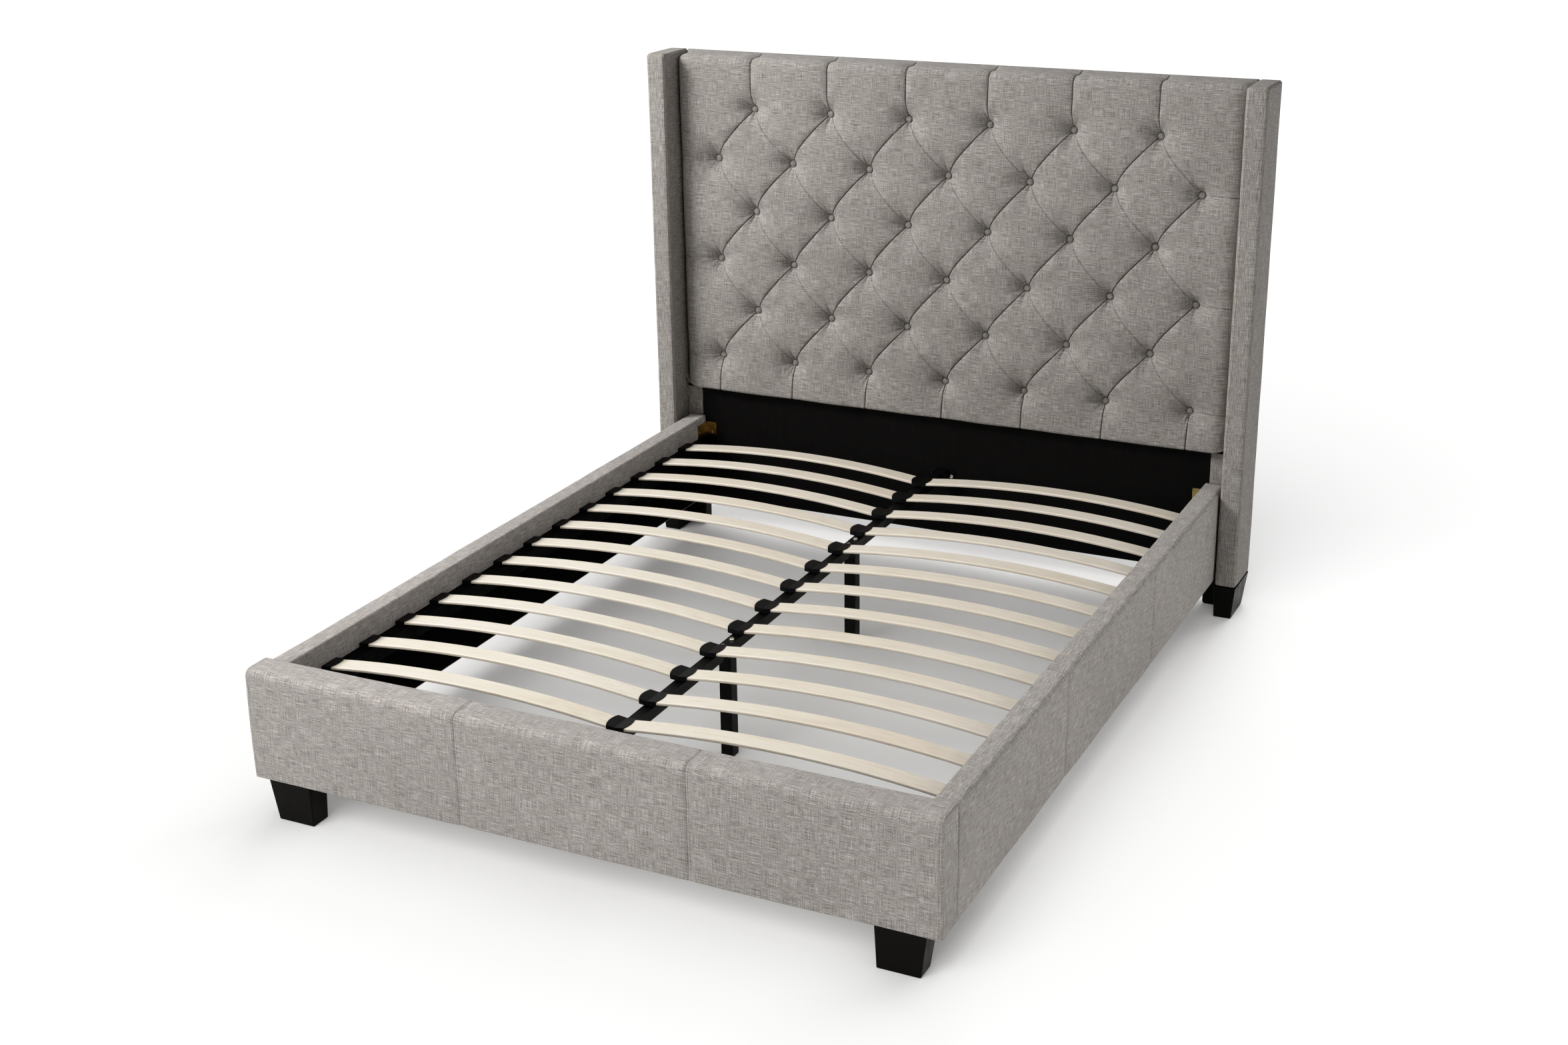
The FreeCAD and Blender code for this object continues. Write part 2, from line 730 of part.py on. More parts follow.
for item in doc.Objects:
    if "Invalid" in item.State or "Error" in item.State:
        raise RuntimeError("%s (%s) did not compute" % (item.Label, item.Name))
for item in nodes:
    if item.Shape.isNull() or not item.Shape.isValid():
        raise RuntimeError("%s has no valid shape" % item.Label)
    if not item.Shape.Solids:
        raise RuntimeError("%s holds no solid" % item.Label)

os.makedirs("parts", exist_ok=True)
for item in nodes:
    item.Shape.exportStep("parts/%s.step" % item.Label)

whole = Part.makeCompound([item.Shape for item in nodes]).BoundBox
print("%d nodes" % len(nodes))
print("box %.1f %.1f %.1f to %.1f %.1f %.1f" % (whole.XMin, whole.YMin, whole.ZMin,
                                               whole.XMax, whole.YMax, whole.ZMax))
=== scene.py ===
import json
import math

import bpy
import numpy as np
from mathutils import Matrix, Vector, kdtree, noise
from mathutils.geometry import delaunay_2d_cdt

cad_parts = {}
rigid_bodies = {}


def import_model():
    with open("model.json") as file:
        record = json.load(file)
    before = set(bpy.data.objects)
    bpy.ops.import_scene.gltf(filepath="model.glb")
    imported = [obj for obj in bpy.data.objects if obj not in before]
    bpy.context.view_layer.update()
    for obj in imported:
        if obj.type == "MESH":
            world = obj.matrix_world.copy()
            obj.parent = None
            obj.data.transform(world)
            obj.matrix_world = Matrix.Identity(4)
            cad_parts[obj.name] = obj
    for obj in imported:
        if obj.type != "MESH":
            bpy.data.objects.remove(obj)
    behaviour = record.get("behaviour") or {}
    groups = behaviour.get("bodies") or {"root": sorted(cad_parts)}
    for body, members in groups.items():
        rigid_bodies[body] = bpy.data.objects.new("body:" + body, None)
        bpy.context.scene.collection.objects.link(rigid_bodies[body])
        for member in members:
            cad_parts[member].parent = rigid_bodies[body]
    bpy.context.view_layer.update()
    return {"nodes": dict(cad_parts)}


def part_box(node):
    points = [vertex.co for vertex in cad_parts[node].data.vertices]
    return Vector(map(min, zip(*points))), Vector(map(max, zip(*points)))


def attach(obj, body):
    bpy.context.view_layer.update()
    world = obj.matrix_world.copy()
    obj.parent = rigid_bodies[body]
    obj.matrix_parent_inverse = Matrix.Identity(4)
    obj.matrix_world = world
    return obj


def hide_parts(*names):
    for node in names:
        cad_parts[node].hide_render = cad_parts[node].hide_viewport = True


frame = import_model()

rng = np.random.default_rng(7)
BODY = "root"

# ---------------------------------------------------------------- camera, light and floor


def add_camera():
    """Looks down on the bed from beyond its front right corner."""
    place = Vector((2.1123, -4.3667, 2.2987))
    azimuth, drop, roll = math.radians(26.0436), math.radians(20.5714), math.radians(-0.808)
    ahead = Vector((-math.sin(azimuth) * math.cos(drop), math.cos(azimuth) * math.cos(drop), -math.sin(drop)))
    level = ahead.cross(Vector((0, 0, 1))).normalized()
    above = level.cross(ahead)
    right = level * math.cos(roll) + above * math.sin(roll)
    up = above * math.cos(roll) - level * math.sin(roll)
    data = bpy.data.cameras.new("Camera")
    data.sensor_width = 36.0
    data.lens = 47.45
    data.clip_end = 200
    camera = bpy.data.objects.new("Camera", data)
    camera.matrix_world = Matrix((right, up, -ahead)).transposed().to_4x4()
    camera.location = place
    bpy.context.collection.objects.link(camera)
    bpy.context.scene.camera = camera


def add_lamp(name, kind, place, target, energy, size, receivers, blockers=None):
    """A soft light aimed from place to target that lights only the pieces in one collection."""
    data = bpy.data.lights.new(name, kind)
    data.energy = energy
    if kind == "SUN":
        data.angle = math.radians(size)
    else:
        data.shape = "SQUARE"
        data.size = size
    lamp = bpy.data.objects.new(name, data)
    lamp.location = place
    lamp.rotation_mode = "QUATERNION"
    lamp.rotation_quaternion = (Vector(target) - Vector(place)).to_track_quat("-Z", "Y")
    lamp.visible_camera = False
    bpy.context.collection.objects.link(lamp)
    lamp.light_linking.receiver_collection = receivers
    if blockers:
        lamp.light_linking.blocker_collection = blockers


LIGHT_WORLD, LIGHT_KEY, LIGHT_FILL, LIGHT_SIDE, LIGHT_FLOOR = 0.42, 295, 73, 52, 1.45


def add_studio():
    world = bpy.data.worlds.new("Studio")
    world.use_nodes = True
    back = world.node_tree.nodes["Background"]
    back.inputs["Color"].default_value = (1, 1, 1, 1)
    back.inputs["Strength"].default_value = LIGHT_WORLD
    bpy.context.scene.world = world
    half = 40
    mesh = bpy.data.meshes.new("Floor")
    square = [(-half, -half, 0), (half, -half, 0), (half, half, 0), (-half, half, 0)]
    mesh.from_pydata(square, [], [(0, 1, 2, 3)])
    floor = bpy.data.objects.new("Floor", mesh)
    bpy.context.collection.objects.link(floor)
    material = bpy.data.materials.new("FloorPaper")
    material.use_nodes = True
    shader = material.node_tree.nodes["Principled BSDF"]
    shader.inputs["Base Color"].default_value = (0.92, 0.92, 0.915, 1)
    shader.inputs["Roughness"].default_value = 0.9
    shader.inputs["Specular IOR Level"].default_value = 0.1
    mesh.materials.append(material)


def light_the_bed():
    """The lamps that shape the upholstery; the floor has its own, so its shadows stay light."""
    ground = bpy.data.collections.new("FloorOnly")
    whole_bed = bpy.data.collections.new("WholeBed")
    low_part = bpy.data.collections.new("LowPart")
    shading = bpy.data.collections.new("FloorShade")
    for piece in bpy.context.scene.objects:
        if piece.name == "Floor":
            ground.objects.link(piece)
        elif piece.type == "MESH":
            whole_bed.objects.link(piece)
            if not piece.name.startswith(("headboard", "wing", "post")):
                low_part.objects.link(piece)
            if not piece.name.startswith(("footboard", "front_foot", "topstitching")):
                shading.objects.link(piece)
    add_lamp("Key", "AREA", (-3.6, -1.6, 3.9), (0, 0.9, 0.9), LIGHT_KEY, 1.6, whole_bed)
    add_lamp("Fill", "AREA", (-1.2, -3.9, 1.9), (0, 0, 0.4), LIGHT_FILL, 3.0, low_part)
    add_lamp("Side", "AREA", (4.5, -0.5, 2.2), (0, 0, 0.4), LIGHT_SIDE, 2.5, low_part)
    add_lamp("FloorBack", "SUN", (0.2, 2.0, 1.9), (0, 0, 0), LIGHT_FLOOR, 45, ground, shading)
    add_lamp("FloorFront", "SUN", (-0.2, -2.0, 1.9), (0, 0, 0), LIGHT_FLOOR, 45, ground)


def set_picture_contrast():
    """A photographic tone curve on the linear picture: deeper blacks and a paper-white floor."""
    settings = bpy.context.scene.view_settings
    settings.view_transform = "Standard"
    settings.use_curve_mapping = True
    mapping = settings.curve_mapping
    points = mapping.curves[3].points
    for value, shown in ((0.02, 0.008), (0.08, 0.063), (0.20, 0.19), (0.30, 0.305), (0.50, 0.54), (0.72, 0.82)):
        points.new(value, shown)
    points[-1].location = (0.92, 1.0)
    mapping.update()


# ---------------------------------------------------------------- material nodes


class Nodes:
    """A short way to wire a material: most calls return the new node's output."""

    def __init__(self, name):
        self.material = bpy.data.materials.new(name)
        self.material.use_nodes = True
        self.tree = self.material.node_tree
        self.shader = self.tree.nodes["Principled BSDF"]

    def put(self, socket, value):
        if isinstance(value, bpy.types.NodeSocket):
            self.tree.links.new(value, socket)
        else:
            socket.default_value = value

    def node(self, kind, inputs=(), output=0, **settings):
        item = self.tree.nodes.new(kind)
        for name, value in settings.items():
            setattr(item, name, value)
        for key, value in dict(inputs).items():
            self.put(item.inputs[key], value)
        return item.outputs[output]

    def math(self, operation, a, b=0.0, clamp=False):
        return self.node("ShaderNodeMath", {0: a, 1: b}, operation=operation, use_clamp=clamp)

    def times(self, a, b):
        return self.math("MULTIPLY", a, b)

    def scaled(self, vector, factors):
        return self.node("ShaderNodeVectorMath", {0: vector, 1: factors}, operation="MULTIPLY")

    def noise(self, vector, cycles, detail, rough=0.5):
        """Noise with so many cycles per metre along each axis."""
        return self.node("ShaderNodeTexNoise", {"Vector": self.scaled(vector, cycles), "Scale": 1.0,
                                                "Detail": detail, "Roughness": rough})

    def ramp(self, value, stops):
        item = self.tree.nodes.new("ShaderNodeValToRGB")
        self.put(item.inputs[0], value)
        elements = item.color_ramp.elements
        while len(elements) < len(stops):
            elements.new(0.5)
        for element, (position, colour) in zip(elements, stops):
            element.position = position
            element.color = (*colour, 1)
        return item.outputs[0]

    def mix(self, factor, a, b, blend="MIX"):
        item = self.tree.nodes.new("ShaderNodeMix")
        item.data_type = "RGBA"
        item.blend_type = blend
        self.put(item.inputs["Factor"], factor)
        for key, value in (("A", a), ("B", b)):
            self.put(item.inputs[key], value if isinstance(value, bpy.types.NodeSocket) else (*value, 1))
        return item.outputs["Result"]

    def bump(self, height, distance, strength=1.0):
        return self.node("ShaderNodeBump", {"Height": height, "Distance": distance, "Strength": strength})

    def split(self, vector):
        """The X, Y and Z of a vector."""
        self.node("ShaderNodeSeparateXYZ", {0: vector})
        return self.tree.nodes[-1].outputs

    def where(self):
        """The place on the piece, in metres."""
        return self.node("ShaderNodeTexCoord", output=3)

    def grained(self, grain, low, high):
        """A grey, or a roughness, that follows the grain."""
        return self.ramp(grain, [(0.3, (low,) * 3), (0.7, (high,) * 3)])

    def finish(self, **inputs):
        for name, value in inputs.items():
            self.put(self.shader.inputs[name.replace("_", " ")], value)
        return self.material


THREAD_PITCH = 0.0013


def linen_material(name, tone):
    """Plain-woven linen look: slubs along U, finer ends along V, both in metres on the cloth map."""
    n = Nodes(name)
    cloth = n.node("ShaderNodeUVMap", uv_map="cloth")
    wander = n.noise(cloth, (9, 9, 1), 1.0)
    cloth = n.node("ShaderNodeVectorMath", {0: cloth, 1: n.scaled(wander, (0.003, 0.003, 0))}, operation="ADD")
    weft = n.noise(cloth, (24, 760, 1), 1.0)
    warp = n.noise(cloth, (760, 24, 1), 1.0)
    slub = n.noise(cloth, (64, 520, 1), 2.0)
    short = n.noise(cloth, (240, 900, 1), 1.0)
    fuzz = n.noise(cloth, (1100, 1100, 1), 1.0)
    cloud = n.noise(cloth, (2.6, 2.6, 1), 2.0)
    hue = n.noise(cloth, (14, 55, 1), 2.0)
    threads = 0.5
    for layer, weight in ((weft, 0.30), (warp, 0.21), (slub, 0.17), (short, 0.20), (fuzz, 0.12)):
        threads = n.math("ADD", threads, n.times(n.math("SUBTRACT", layer, 0.5), weight))
    shades = ((0.36, (0.115, 0.103, 0.094)), (0.50, (0.325, 0.303, 0.284)), (0.66, (0.66, 0.638, 0.61)))
    colour = n.ramp(threads, [(position, tuple(c * tone for c in shade)) for position, shade in shades])
    warm = n.mix(n.times(n.math("SUBTRACT", hue, 0.42, True), 0.8), colour,
                 n.mix(1.0, colour, (1.0, 0.93, 0.86), "MULTIPLY"))
    colour = n.mix(1.0, warm, n.grained(cloud, 0.93, 1.05), "MULTIPLY")
    turns = 2 * math.pi / THREAD_PITCH
    u, v, _ = n.split(cloth)
    weave = n.times(n.math("SINE", n.times(u, turns)), n.math("SINE", n.times(v, turns)))
    height = n.math("ADD", n.times(weave, 0.22), threads)
    return n.finish(Base_Color=colour, Roughness=0.92, Specular_IOR_Level=0.18, Sheen_Weight=0.12,
                    Sheen_Roughness=0.5, Normal=n.bump(height, 0.0009, 0.7))


def thread_material():
    """Darker thread for the topstitching."""
    n = Nodes("StitchThread")
    grain = n.noise(n.where(), (900, 900, 900), 1.0)
    return n.finish(Base_Color=n.ramp(grain, [(0.3, (0.10, 0.093, 0.086)), (0.7, (0.19, 0.178, 0.165))]),
                    Roughness=0.8, Normal=n.bump(grain, 0.0002))


# the bow's radius, how far its middle lies outside half of the slats' reach, and one ply
SLAT_BOW, SLAT_MIDDLE_SHIFT, PLY = 2.960, 0.0034, 0.0016


def birch_material():
    """Bent birch plywood: long pale grain on the faces and ply lines on the edges."""
    n = Nodes("BirchPly")
    spot = n.where()
    slow = n.noise(spot, (1.3, 9, 9), 2.0)
    grain = n.noise(spot, (7, 210, 210), 4.0, rough=0.6)
    colour = n.ramp(grain, [(0.25, (0.46, 0.425, 0.36)), (0.5, (0.535, 0.503, 0.445)),
                            (0.8, (0.58, 0.553, 0.50))])
    tint = n.ramp(slow, [(0.35, (1.02, 1.01, 1.0)), (0.62, (0.99, 0.965, 0.93)), (0.8, (0.98, 0.90, 0.83))])
    colour = n.mix(1.0, colour, tint, "MULTIPLY")
    flecks = n.noise(spot, (60, 420, 420), 1.0)
    colour = n.mix(n.math("MULTIPLY", n.math("SUBTRACT", flecks, 0.72, True), 3.5, True), colour,
                   (0.20, 0.15, 0.10))
    # plies follow the bow, so they are told apart by the distance from the bow's axis
    x, _, z = n.split(spot)
    _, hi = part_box("slat_row_01")
    across = n.math("SUBTRACT", n.math("ABSOLUTE", x), hi.x / 2 + SLAT_MIDDLE_SHIFT)
    level = n.math("SUBTRACT", z, hi.z - SLAT_BOW)
    radius = n.math("SQRT", n.math("ADD", n.times(across, across), n.times(level, level)))
    ply = n.math("FRACT", n.times(n.math("SUBTRACT", radius, SLAT_BOW), 1 / PLY))
    line = n.math("LESS_THAN", ply, 0.30)
    n.node("ShaderNodeNewGeometry")
    _, y_facing, _ = n.split(n.tree.nodes[-1].outputs["Normal"])
    sideways = n.math("GREATER_THAN", n.math("ABSOLUTE", y_facing), 0.55)
    edge = n.times(line, sideways)
    wobble = n.noise(spot, (30, 4, 4), 2.0)
    colour = n.mix(n.times(edge, n.times(wobble, 1.1)), colour, (0.27, 0.20, 0.135))
    return n.finish(Base_Color=colour, Roughness=n.grained(grain, 0.50, 0.38), Specular_IOR_Level=0.35,
                    Normal=n.bump(grain, 0.0004, 0.5))


def dark_wood_material(name, base, roughness, gloss):
    """Painted, stained or bare board with a fine upright grain and slow wear."""
    n = Nodes(name)
    spot = n.where()
    grain = n.noise(spot, (160, 160, 9), 4.0, rough=0.6)
    wear = n.noise(spot, (22, 22, 22), 3.0)
    lighter = tuple(c * 2.1 + 0.002 for c in base)
    colour = n.mix(n.times(grain, 0.5), base, lighter)
    rough = n.grained(wear, roughness * 0.8, roughness * 1.25)
    return n.finish(Base_Color=colour, Roughness=rough, Specular_IOR_Level=gloss,
                    Normal=n.bump(grain, 0.0005, 0.5))


def powder_material(name, base, roughness, grit):
    """Powder-coated steel or moulded plastic, with a fine orange-peel surface."""
    n = Nodes(name)
    spot = n.where()
    peel = n.noise(spot, (grit, grit, grit), 2.0)
    smear = n.noise(spot, (18, 18, 18), 3.0)
    colour = n.mix(n.times(smear, 0.6), base, tuple(c * 1.8 + 0.003 for c in base))
    rough = n.grained(smear, roughness * 0.85, roughness * 1.2)
    return n.finish(Base_Color=colour, Roughness=rough, Specular_IOR_Level=0.22,
                    Normal=n.bump(peel, 0.0003, 0.5))


def zinc_material():
    """Yellow-passivated zinc: gold with faint pink and green drifts and rubbed scratches, with painted shade
    that darkens the colour below the level of the slats.
    """
    n = Nodes("YellowZinc")
    spot = n.where()
    drift = n.noise(spot, (34, 34, 34), 3.0)
    rub = n.noise(spot, (60, 60, 900), 2.0)
    colour = n.ramp(drift, [(0.28, (0.24, 0.26, 0.16)), (0.42, (0.40, 0.30, 0.13)), (0.55, (0.46, 0.34, 0.17)),
                            (0.72, (0.36, 0.20, 0.17))])
    # painted shade: the brackets' colour darkens almost to black below the level of the slats, where the slats
    # shade them
    painted_shade_below, painted_shade_fade = 0.296, 0.014
    _, _, z = n.split(spot)
    unshaded_share = n.math("MULTIPLY", n.math("SUBTRACT", z, painted_shade_below), 1 / painted_shade_fade, True)
    colour = n.mix(1.0, colour, n.ramp(unshaded_share, [(0.0, (0.08,) * 3), (1.0, (1.0,) * 3)]), "MULTIPLY")
    return n.finish(Base_Color=colour, Metallic=1.0, Roughness=n.grained(rub, 0.26, 0.44),
                    Normal=n.bump(rub, 0.0001, 0.4))


def steel_material():
    """Bright zinc-plated steel, for the screws and bolts of the centre rail."""
    n = Nodes("ZincSteel")
    spot = n.where()
    rub = n.noise(spot, (300, 300, 300), 2.0)
    colour = n.ramp(rub, [(0.3, (0.55, 0.53, 0.48)), (0.7, (0.78, 0.75, 0.69))])
    return n.finish(Base_Color=colour, Metallic=1.0, Roughness=0.30, Normal=n.bump(rub, 0.0001, 0.4))


def dust_cloth_material(name, grey):
    """Black spun-bonded cloth with a small embossed grid."""
    n = Nodes(name)
    spot = n.where()
    fibre = n.noise(spot, (420, 420, 420), 3.0, rough=0.7)
    cell = n.node("ShaderNodeTexVoronoi", {"Vector": n.scaled(spot, (380, 380, 380)), "Scale": 1.0})
    colour = n.grained(fibre, 0.0015 * grey, 0.006 * grey)
    height = n.math("ADD", fibre, n.times(cell, 0.6))
    return n.finish(Base_Color=colour, Roughness=0.9, Specular_IOR_Level=0.04,
                    Normal=n.bump(height, 0.0005, 0.6))


# ---------------------------------------------------------------- mesh helpers


def add_piece(name, verts, faces, material, uvs=None, replaces=()):
    """A mesh that rides on the bed's body. uvs(face_normal, vertex_index, place) gives the cloth map."""
    mesh = bpy.data.meshes.new(name)
    mesh.from_pydata([tuple(map(float, v)) for v in verts], [], [tuple(map(int, f)) for f in faces])
    mesh.materials.append(material)
    mesh.validate()
    mesh.update()
    mesh.polygons.foreach_set("use_smooth", [True] * len(mesh.polygons))
    if uvs is not None:
        layer = mesh.uv_layers.new(name="cloth")
        values = np.zeros((len(mesh.loops), 2))
        for polygon in mesh.polygons:
            for loop in polygon.loop_indices:
                vertex = mesh.loops[loop].vertex_index
                values[loop] = uvs(polygon.normal, vertex, mesh.vertices[vertex].co)
        layer.data.foreach_set("uv", values.ravel())
    piece = bpy.data.objects.new(name, mesh)
    bpy.context.collection.objects.link(piece)
    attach(piece, BODY)
    if replaces:
        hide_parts(*replaces)
    return piece


def spaced(low, high, step, extra=()):
    """Evenly spaced values from low to high, with extra ones let in."""
    count = max(1, round((high - low) / step))
    values = list(np.linspace(low, high, count + 1)) + [e for e in extra if low < e < high]
    values = sorted(values)
    kept = [values[0]]
    for value in values[1:]:
        if value - kept[-1] > 0.0004:
            kept.append(value)
    kept[-1] = high
    return np.array(kept)


def rounded_ring(corners, radii, inset, arc_steps, gaps):
    """A closed ring round a convex or notched outline, as points and outward normals.
    gaps gives, for a point's index, the fractions of the straight run after it that also get a point."""
    sharp = 0.0002
    count = len(corners)
    points, normals = [], []
    for i in range(count):
        here, before, after = (np.array(corners[k % count], float) for k in (i, i - 1, i + 1))
        into = (here - before) / np.linalg.norm(here - before)
        out = (after - here) / np.linalg.norm(after - here)
        n_in, n_out = np.array((into[1], -into[0])), np.array((out[1], -out[0]))
        turn = into[0] * out[1] - into[1] * out[0]
        radius = max(radii[i] - inset, sharp) if turn > 0 else sharp
        centre = here - n_in * (inset + radius) - n_out * (inset + radius)
        if turn < 0:
            points.append(here - n_in * inset - n_out * inset)
            normals.append((n_in + n_out) / np.linalg.norm(n_in + n_out))
            continue
        for k in range(arc_steps + 1):
            angle = k / arc_steps * math.pi / 2
            normal = n_in * math.cos(angle) + n_out * math.sin(angle)
            points.append(centre + normal * radius)
            normals.append(normal)
    # fill the straight runs with the same number of points whatever the inset
    full_points, full_normals = [], []
    total = len(points)
    for i in range(total):
        full_points.append(points[i])
        full_normals.append(normals[i])
        after = (i + 1) % total
        for fraction in gaps.get(i, ()):
            full_points.append(points[i] * (1 - fraction) + points[after] * fraction)
            normal = normals[i] * (1 - fraction) + normals[after] * fraction
            full_normals.append(normal / np.linalg.norm(normal))
    return np.array(full_points), np.array(full_normals)


def bracket(values, at):
    """The index before a place in rising values, and the share of the way to the next."""
    k = int(np.clip(np.searchsorted(values, at) - 1, 0, len(values) - 2))
    span = values[k + 1] - values[k]
    return k, (at - values[k]) / span if span > 1e-9 else 0


class Loft:
    """A closed, rounded bar: an outline swept along one axis, with softened ends."""

    def __init__(self, axis, span, corners, radii, end_round, step, marks=(), arc_steps=5, ring_extra=(),
                 cap_rings=3):
        self.axis = axis
        base, _ = rounded_ring(corners, radii, 0, arc_steps, {})
        gaps = {}
        for i in range(len(base)):
            length = np.linalg.norm(base[(i + 1) % len(base)] - base[i])
            if length > step * 1.2:
                near = [e / length for e in ring_extra if e < length * 0.45]
                far = [1 - e for e in near]
                even = list(np.linspace(0, 1, max(2, round(length / step) + 1))[1:-1])
                gaps[i] = sorted(set(round(f, 5) for f in near + far + even))
        self.outline = lambda inset: rounded_ring(corners, radii, inset, arc_steps, gaps)
        # each ring as place, inset and tilt; the end faces are rings that shrink towards the middle
        low, high = span
        ends, caps = [], []
        if end_round:
            ends = [(math.sin(a), 1 - math.cos(a)) for a in np.linspace(0, math.pi / 2, 5)[1:]]
            innermost = 0.92 * np.ptp(np.array(corners), axis=0).min() / 2
            caps = [end_round + (innermost - end_round) * f for f in np.linspace(0, 1, cap_rings + 1)[1:]]
        rings = [(low, inset, -1.0) for inset in reversed(caps)]
        rings += [(low + end_round * (1 - reach), end_round * inward, -reach)
                  for reach, inward in reversed(ends)]
        rings += [(station, 0.0, 0.0) for station in spaced(low + end_round, high - end_round, step, marks)]
        rings += [(high - end_round * (1 - reach), end_round * inward, reach) for reach, inward in ends]
        rings += [(high, inset, 1.0) for inset in caps]
        self.along = np.array([r[0] for r in rings])
        self.tilt = np.array([r[2] for r in rings])
        shapes = [self.outline(r[1]) for r in rings]
        flat = np.array([s[0] for s in shapes])
        flat_normals = np.array([s[1] for s in shapes])
        self.arc = np.concatenate([[0], np.cumsum(np.linalg.norm(np.diff(self.outline(0)[0], axis=0), axis=1))])
        self.points = np.zeros((*flat.shape[:2], 3))
        self.normals = np.zeros_like(self.points)
        others = [a for a in range(3) if a != axis]
        sideways = np.sqrt(np.clip(1 - self.tilt ** 2, 0, 1))[:, None]
        self.points[..., axis] = self.along[:, None]
        self.normals[..., axis] = self.tilt[:, None]
        for k, other in enumerate(others):
            self.points[..., other] = flat[..., k]
            self.normals[..., other] = flat_normals[..., k] * sideways
        # a sweep along Y has its outline in (X, Z), which is left-handed
        self.flip = axis == 1

    def push(self, amount):
        """Moves each point along its normal; amount(points, normals) is in metres."""
        self.points += self.normals * amount(self.points, self.normals)[:, :, None]

    def faces(self):
        rings, count = self.points.shape[:2]
        faces = []
        for j in range(rings - 1):
            for k in range(count):
                after = (k + 1) % count
                faces.append((j * count + k, j * count + after, (j + 1) * count + after, (j + 1) * count + k))
        faces.append(tuple(range(count))[::-1])
        faces.append(tuple((rings - 1) * count + k for k in range(count)))
        if self.flip:
            faces = [f[::-1] for f in faces]
        return faces

    def wrapped_map(self):
        """Slubs along the bar and arc length round it; on the end faces, slubs across the bar."""
        count = self.points.shape[1]
        arc = self.arc
        points = self.points.reshape(-1, 3)
        axis = self.axis

        def uv(normal, vertex, place):
            if abs(normal[axis]) > 0.75:
                return (place[2], place[0] if axis == 1 else place[1])
            return (points[vertex][axis], arc[vertex % count])
        return uv

    def line_along(self, arc_position, low, high):
        """Points and normals along the bar at one arc length."""
        places, ups = [], []
        k, fraction = bracket(self.arc, arc_position)
        for j in range(len(self.along)):
            if self.tilt[j] == 0 and low <= self.along[j] <= high:
                places.append(self.points[j, k] * (1 - fraction) + self.points[j, k + 1] * fraction)
                ups.append(self.normals[j, k] * (1 - fraction) + self.normals[j, k + 1] * fraction)
        return np.array(places), np.array(ups)

    def line_round(self, station):
        """Points and normals round the bar at one place along it."""
        j, fraction = bracket(self.along, station)
        places = self.points[j] * (1 - fraction) + self.points[j + 1] * fraction
        ups = self.normals[j] * (1 - fraction) + self.normals[j + 1] * fraction
        return places, ups


def wavy(scale, size, seed):
    """A slow undulation in metres, as fabric over foam has."""
    def amount(points, normals):
        flat = points.reshape(-1, 3)
        values = [noise.noise(Vector(p * scale) + Vector((seed, seed * 0.7, seed * 1.3))) for p in flat]
        return np.array(values).reshape(points.shape[:2]) * size
    return amount


def bell(distance, width):
    return np.exp(-(distance / width) ** 2)


def groove(distance, depth, width):
    return -depth * bell(distance, width)


def stitch_row(places, ups):
    """Small spindles laid end to end along a line, as (vertices, faces)."""
    stitch, gap, radius, around = 0.0042, 0.0018, 0.00042, 6
    steps = np.linalg.norm(np.diff(places, axis=0), axis=1)
    lengths = np.concatenate([[0], np.cumsum(steps)])
    verts, faces = [], []
    at = gap

    def along(length):
        place = np.array([np.interp(length, lengths, places[:, a]) for a in range(3)])
        up = np.array([np.interp(length, lengths, ups[:, a]) for a in range(3)])
        return place, up / (np.linalg.norm(up) + 1e-9)

    while at + stitch < lengths[-1]:
        start, up = along(at)
        end, _ = along(at + stitch)
        forward = (end - start) / (np.linalg.norm(end - start) + 1e-9)
        side = np.cross(forward, up)
        base = len(verts)
        verts.append(start - up * radius * 0.6)
        for fraction in (0.25, 0.75):
            middle = start + (end - start) * fraction + up * (radius * 0.45)
            for k in range(around):
                angle = k * 2 * math.pi / around
                verts.append(middle + side * math.cos(angle) * radius + up * math.sin(angle) * radius)
        verts.append(end - up * radius * 0.6)
        first, second = base + 1, base + 1 + around
        for k in range(around):
            after = (k + 1) % around
            faces.append((base, first + k, first + after))
            faces.append((first + k, second + k, second + after, first + after))
            faces.append((second + k, second + around, second + after))
        at += stitch + gap
    return verts, faces


def add_stitches(name, rows):
    """All the stitch rows as one piece."""
    verts, faces = [], []
    for places, ups in rows:
        if len(places) < 2:
            continue
        more_verts, more_faces = stitch_row(places, ups)
        base = len(verts)
        verts += more_verts
        faces += [tuple(i + base for i in face) for face in more_faces]
    add_piece(name, verts, faces, thread)


# ---------------------------------------------------------------- tufted pad


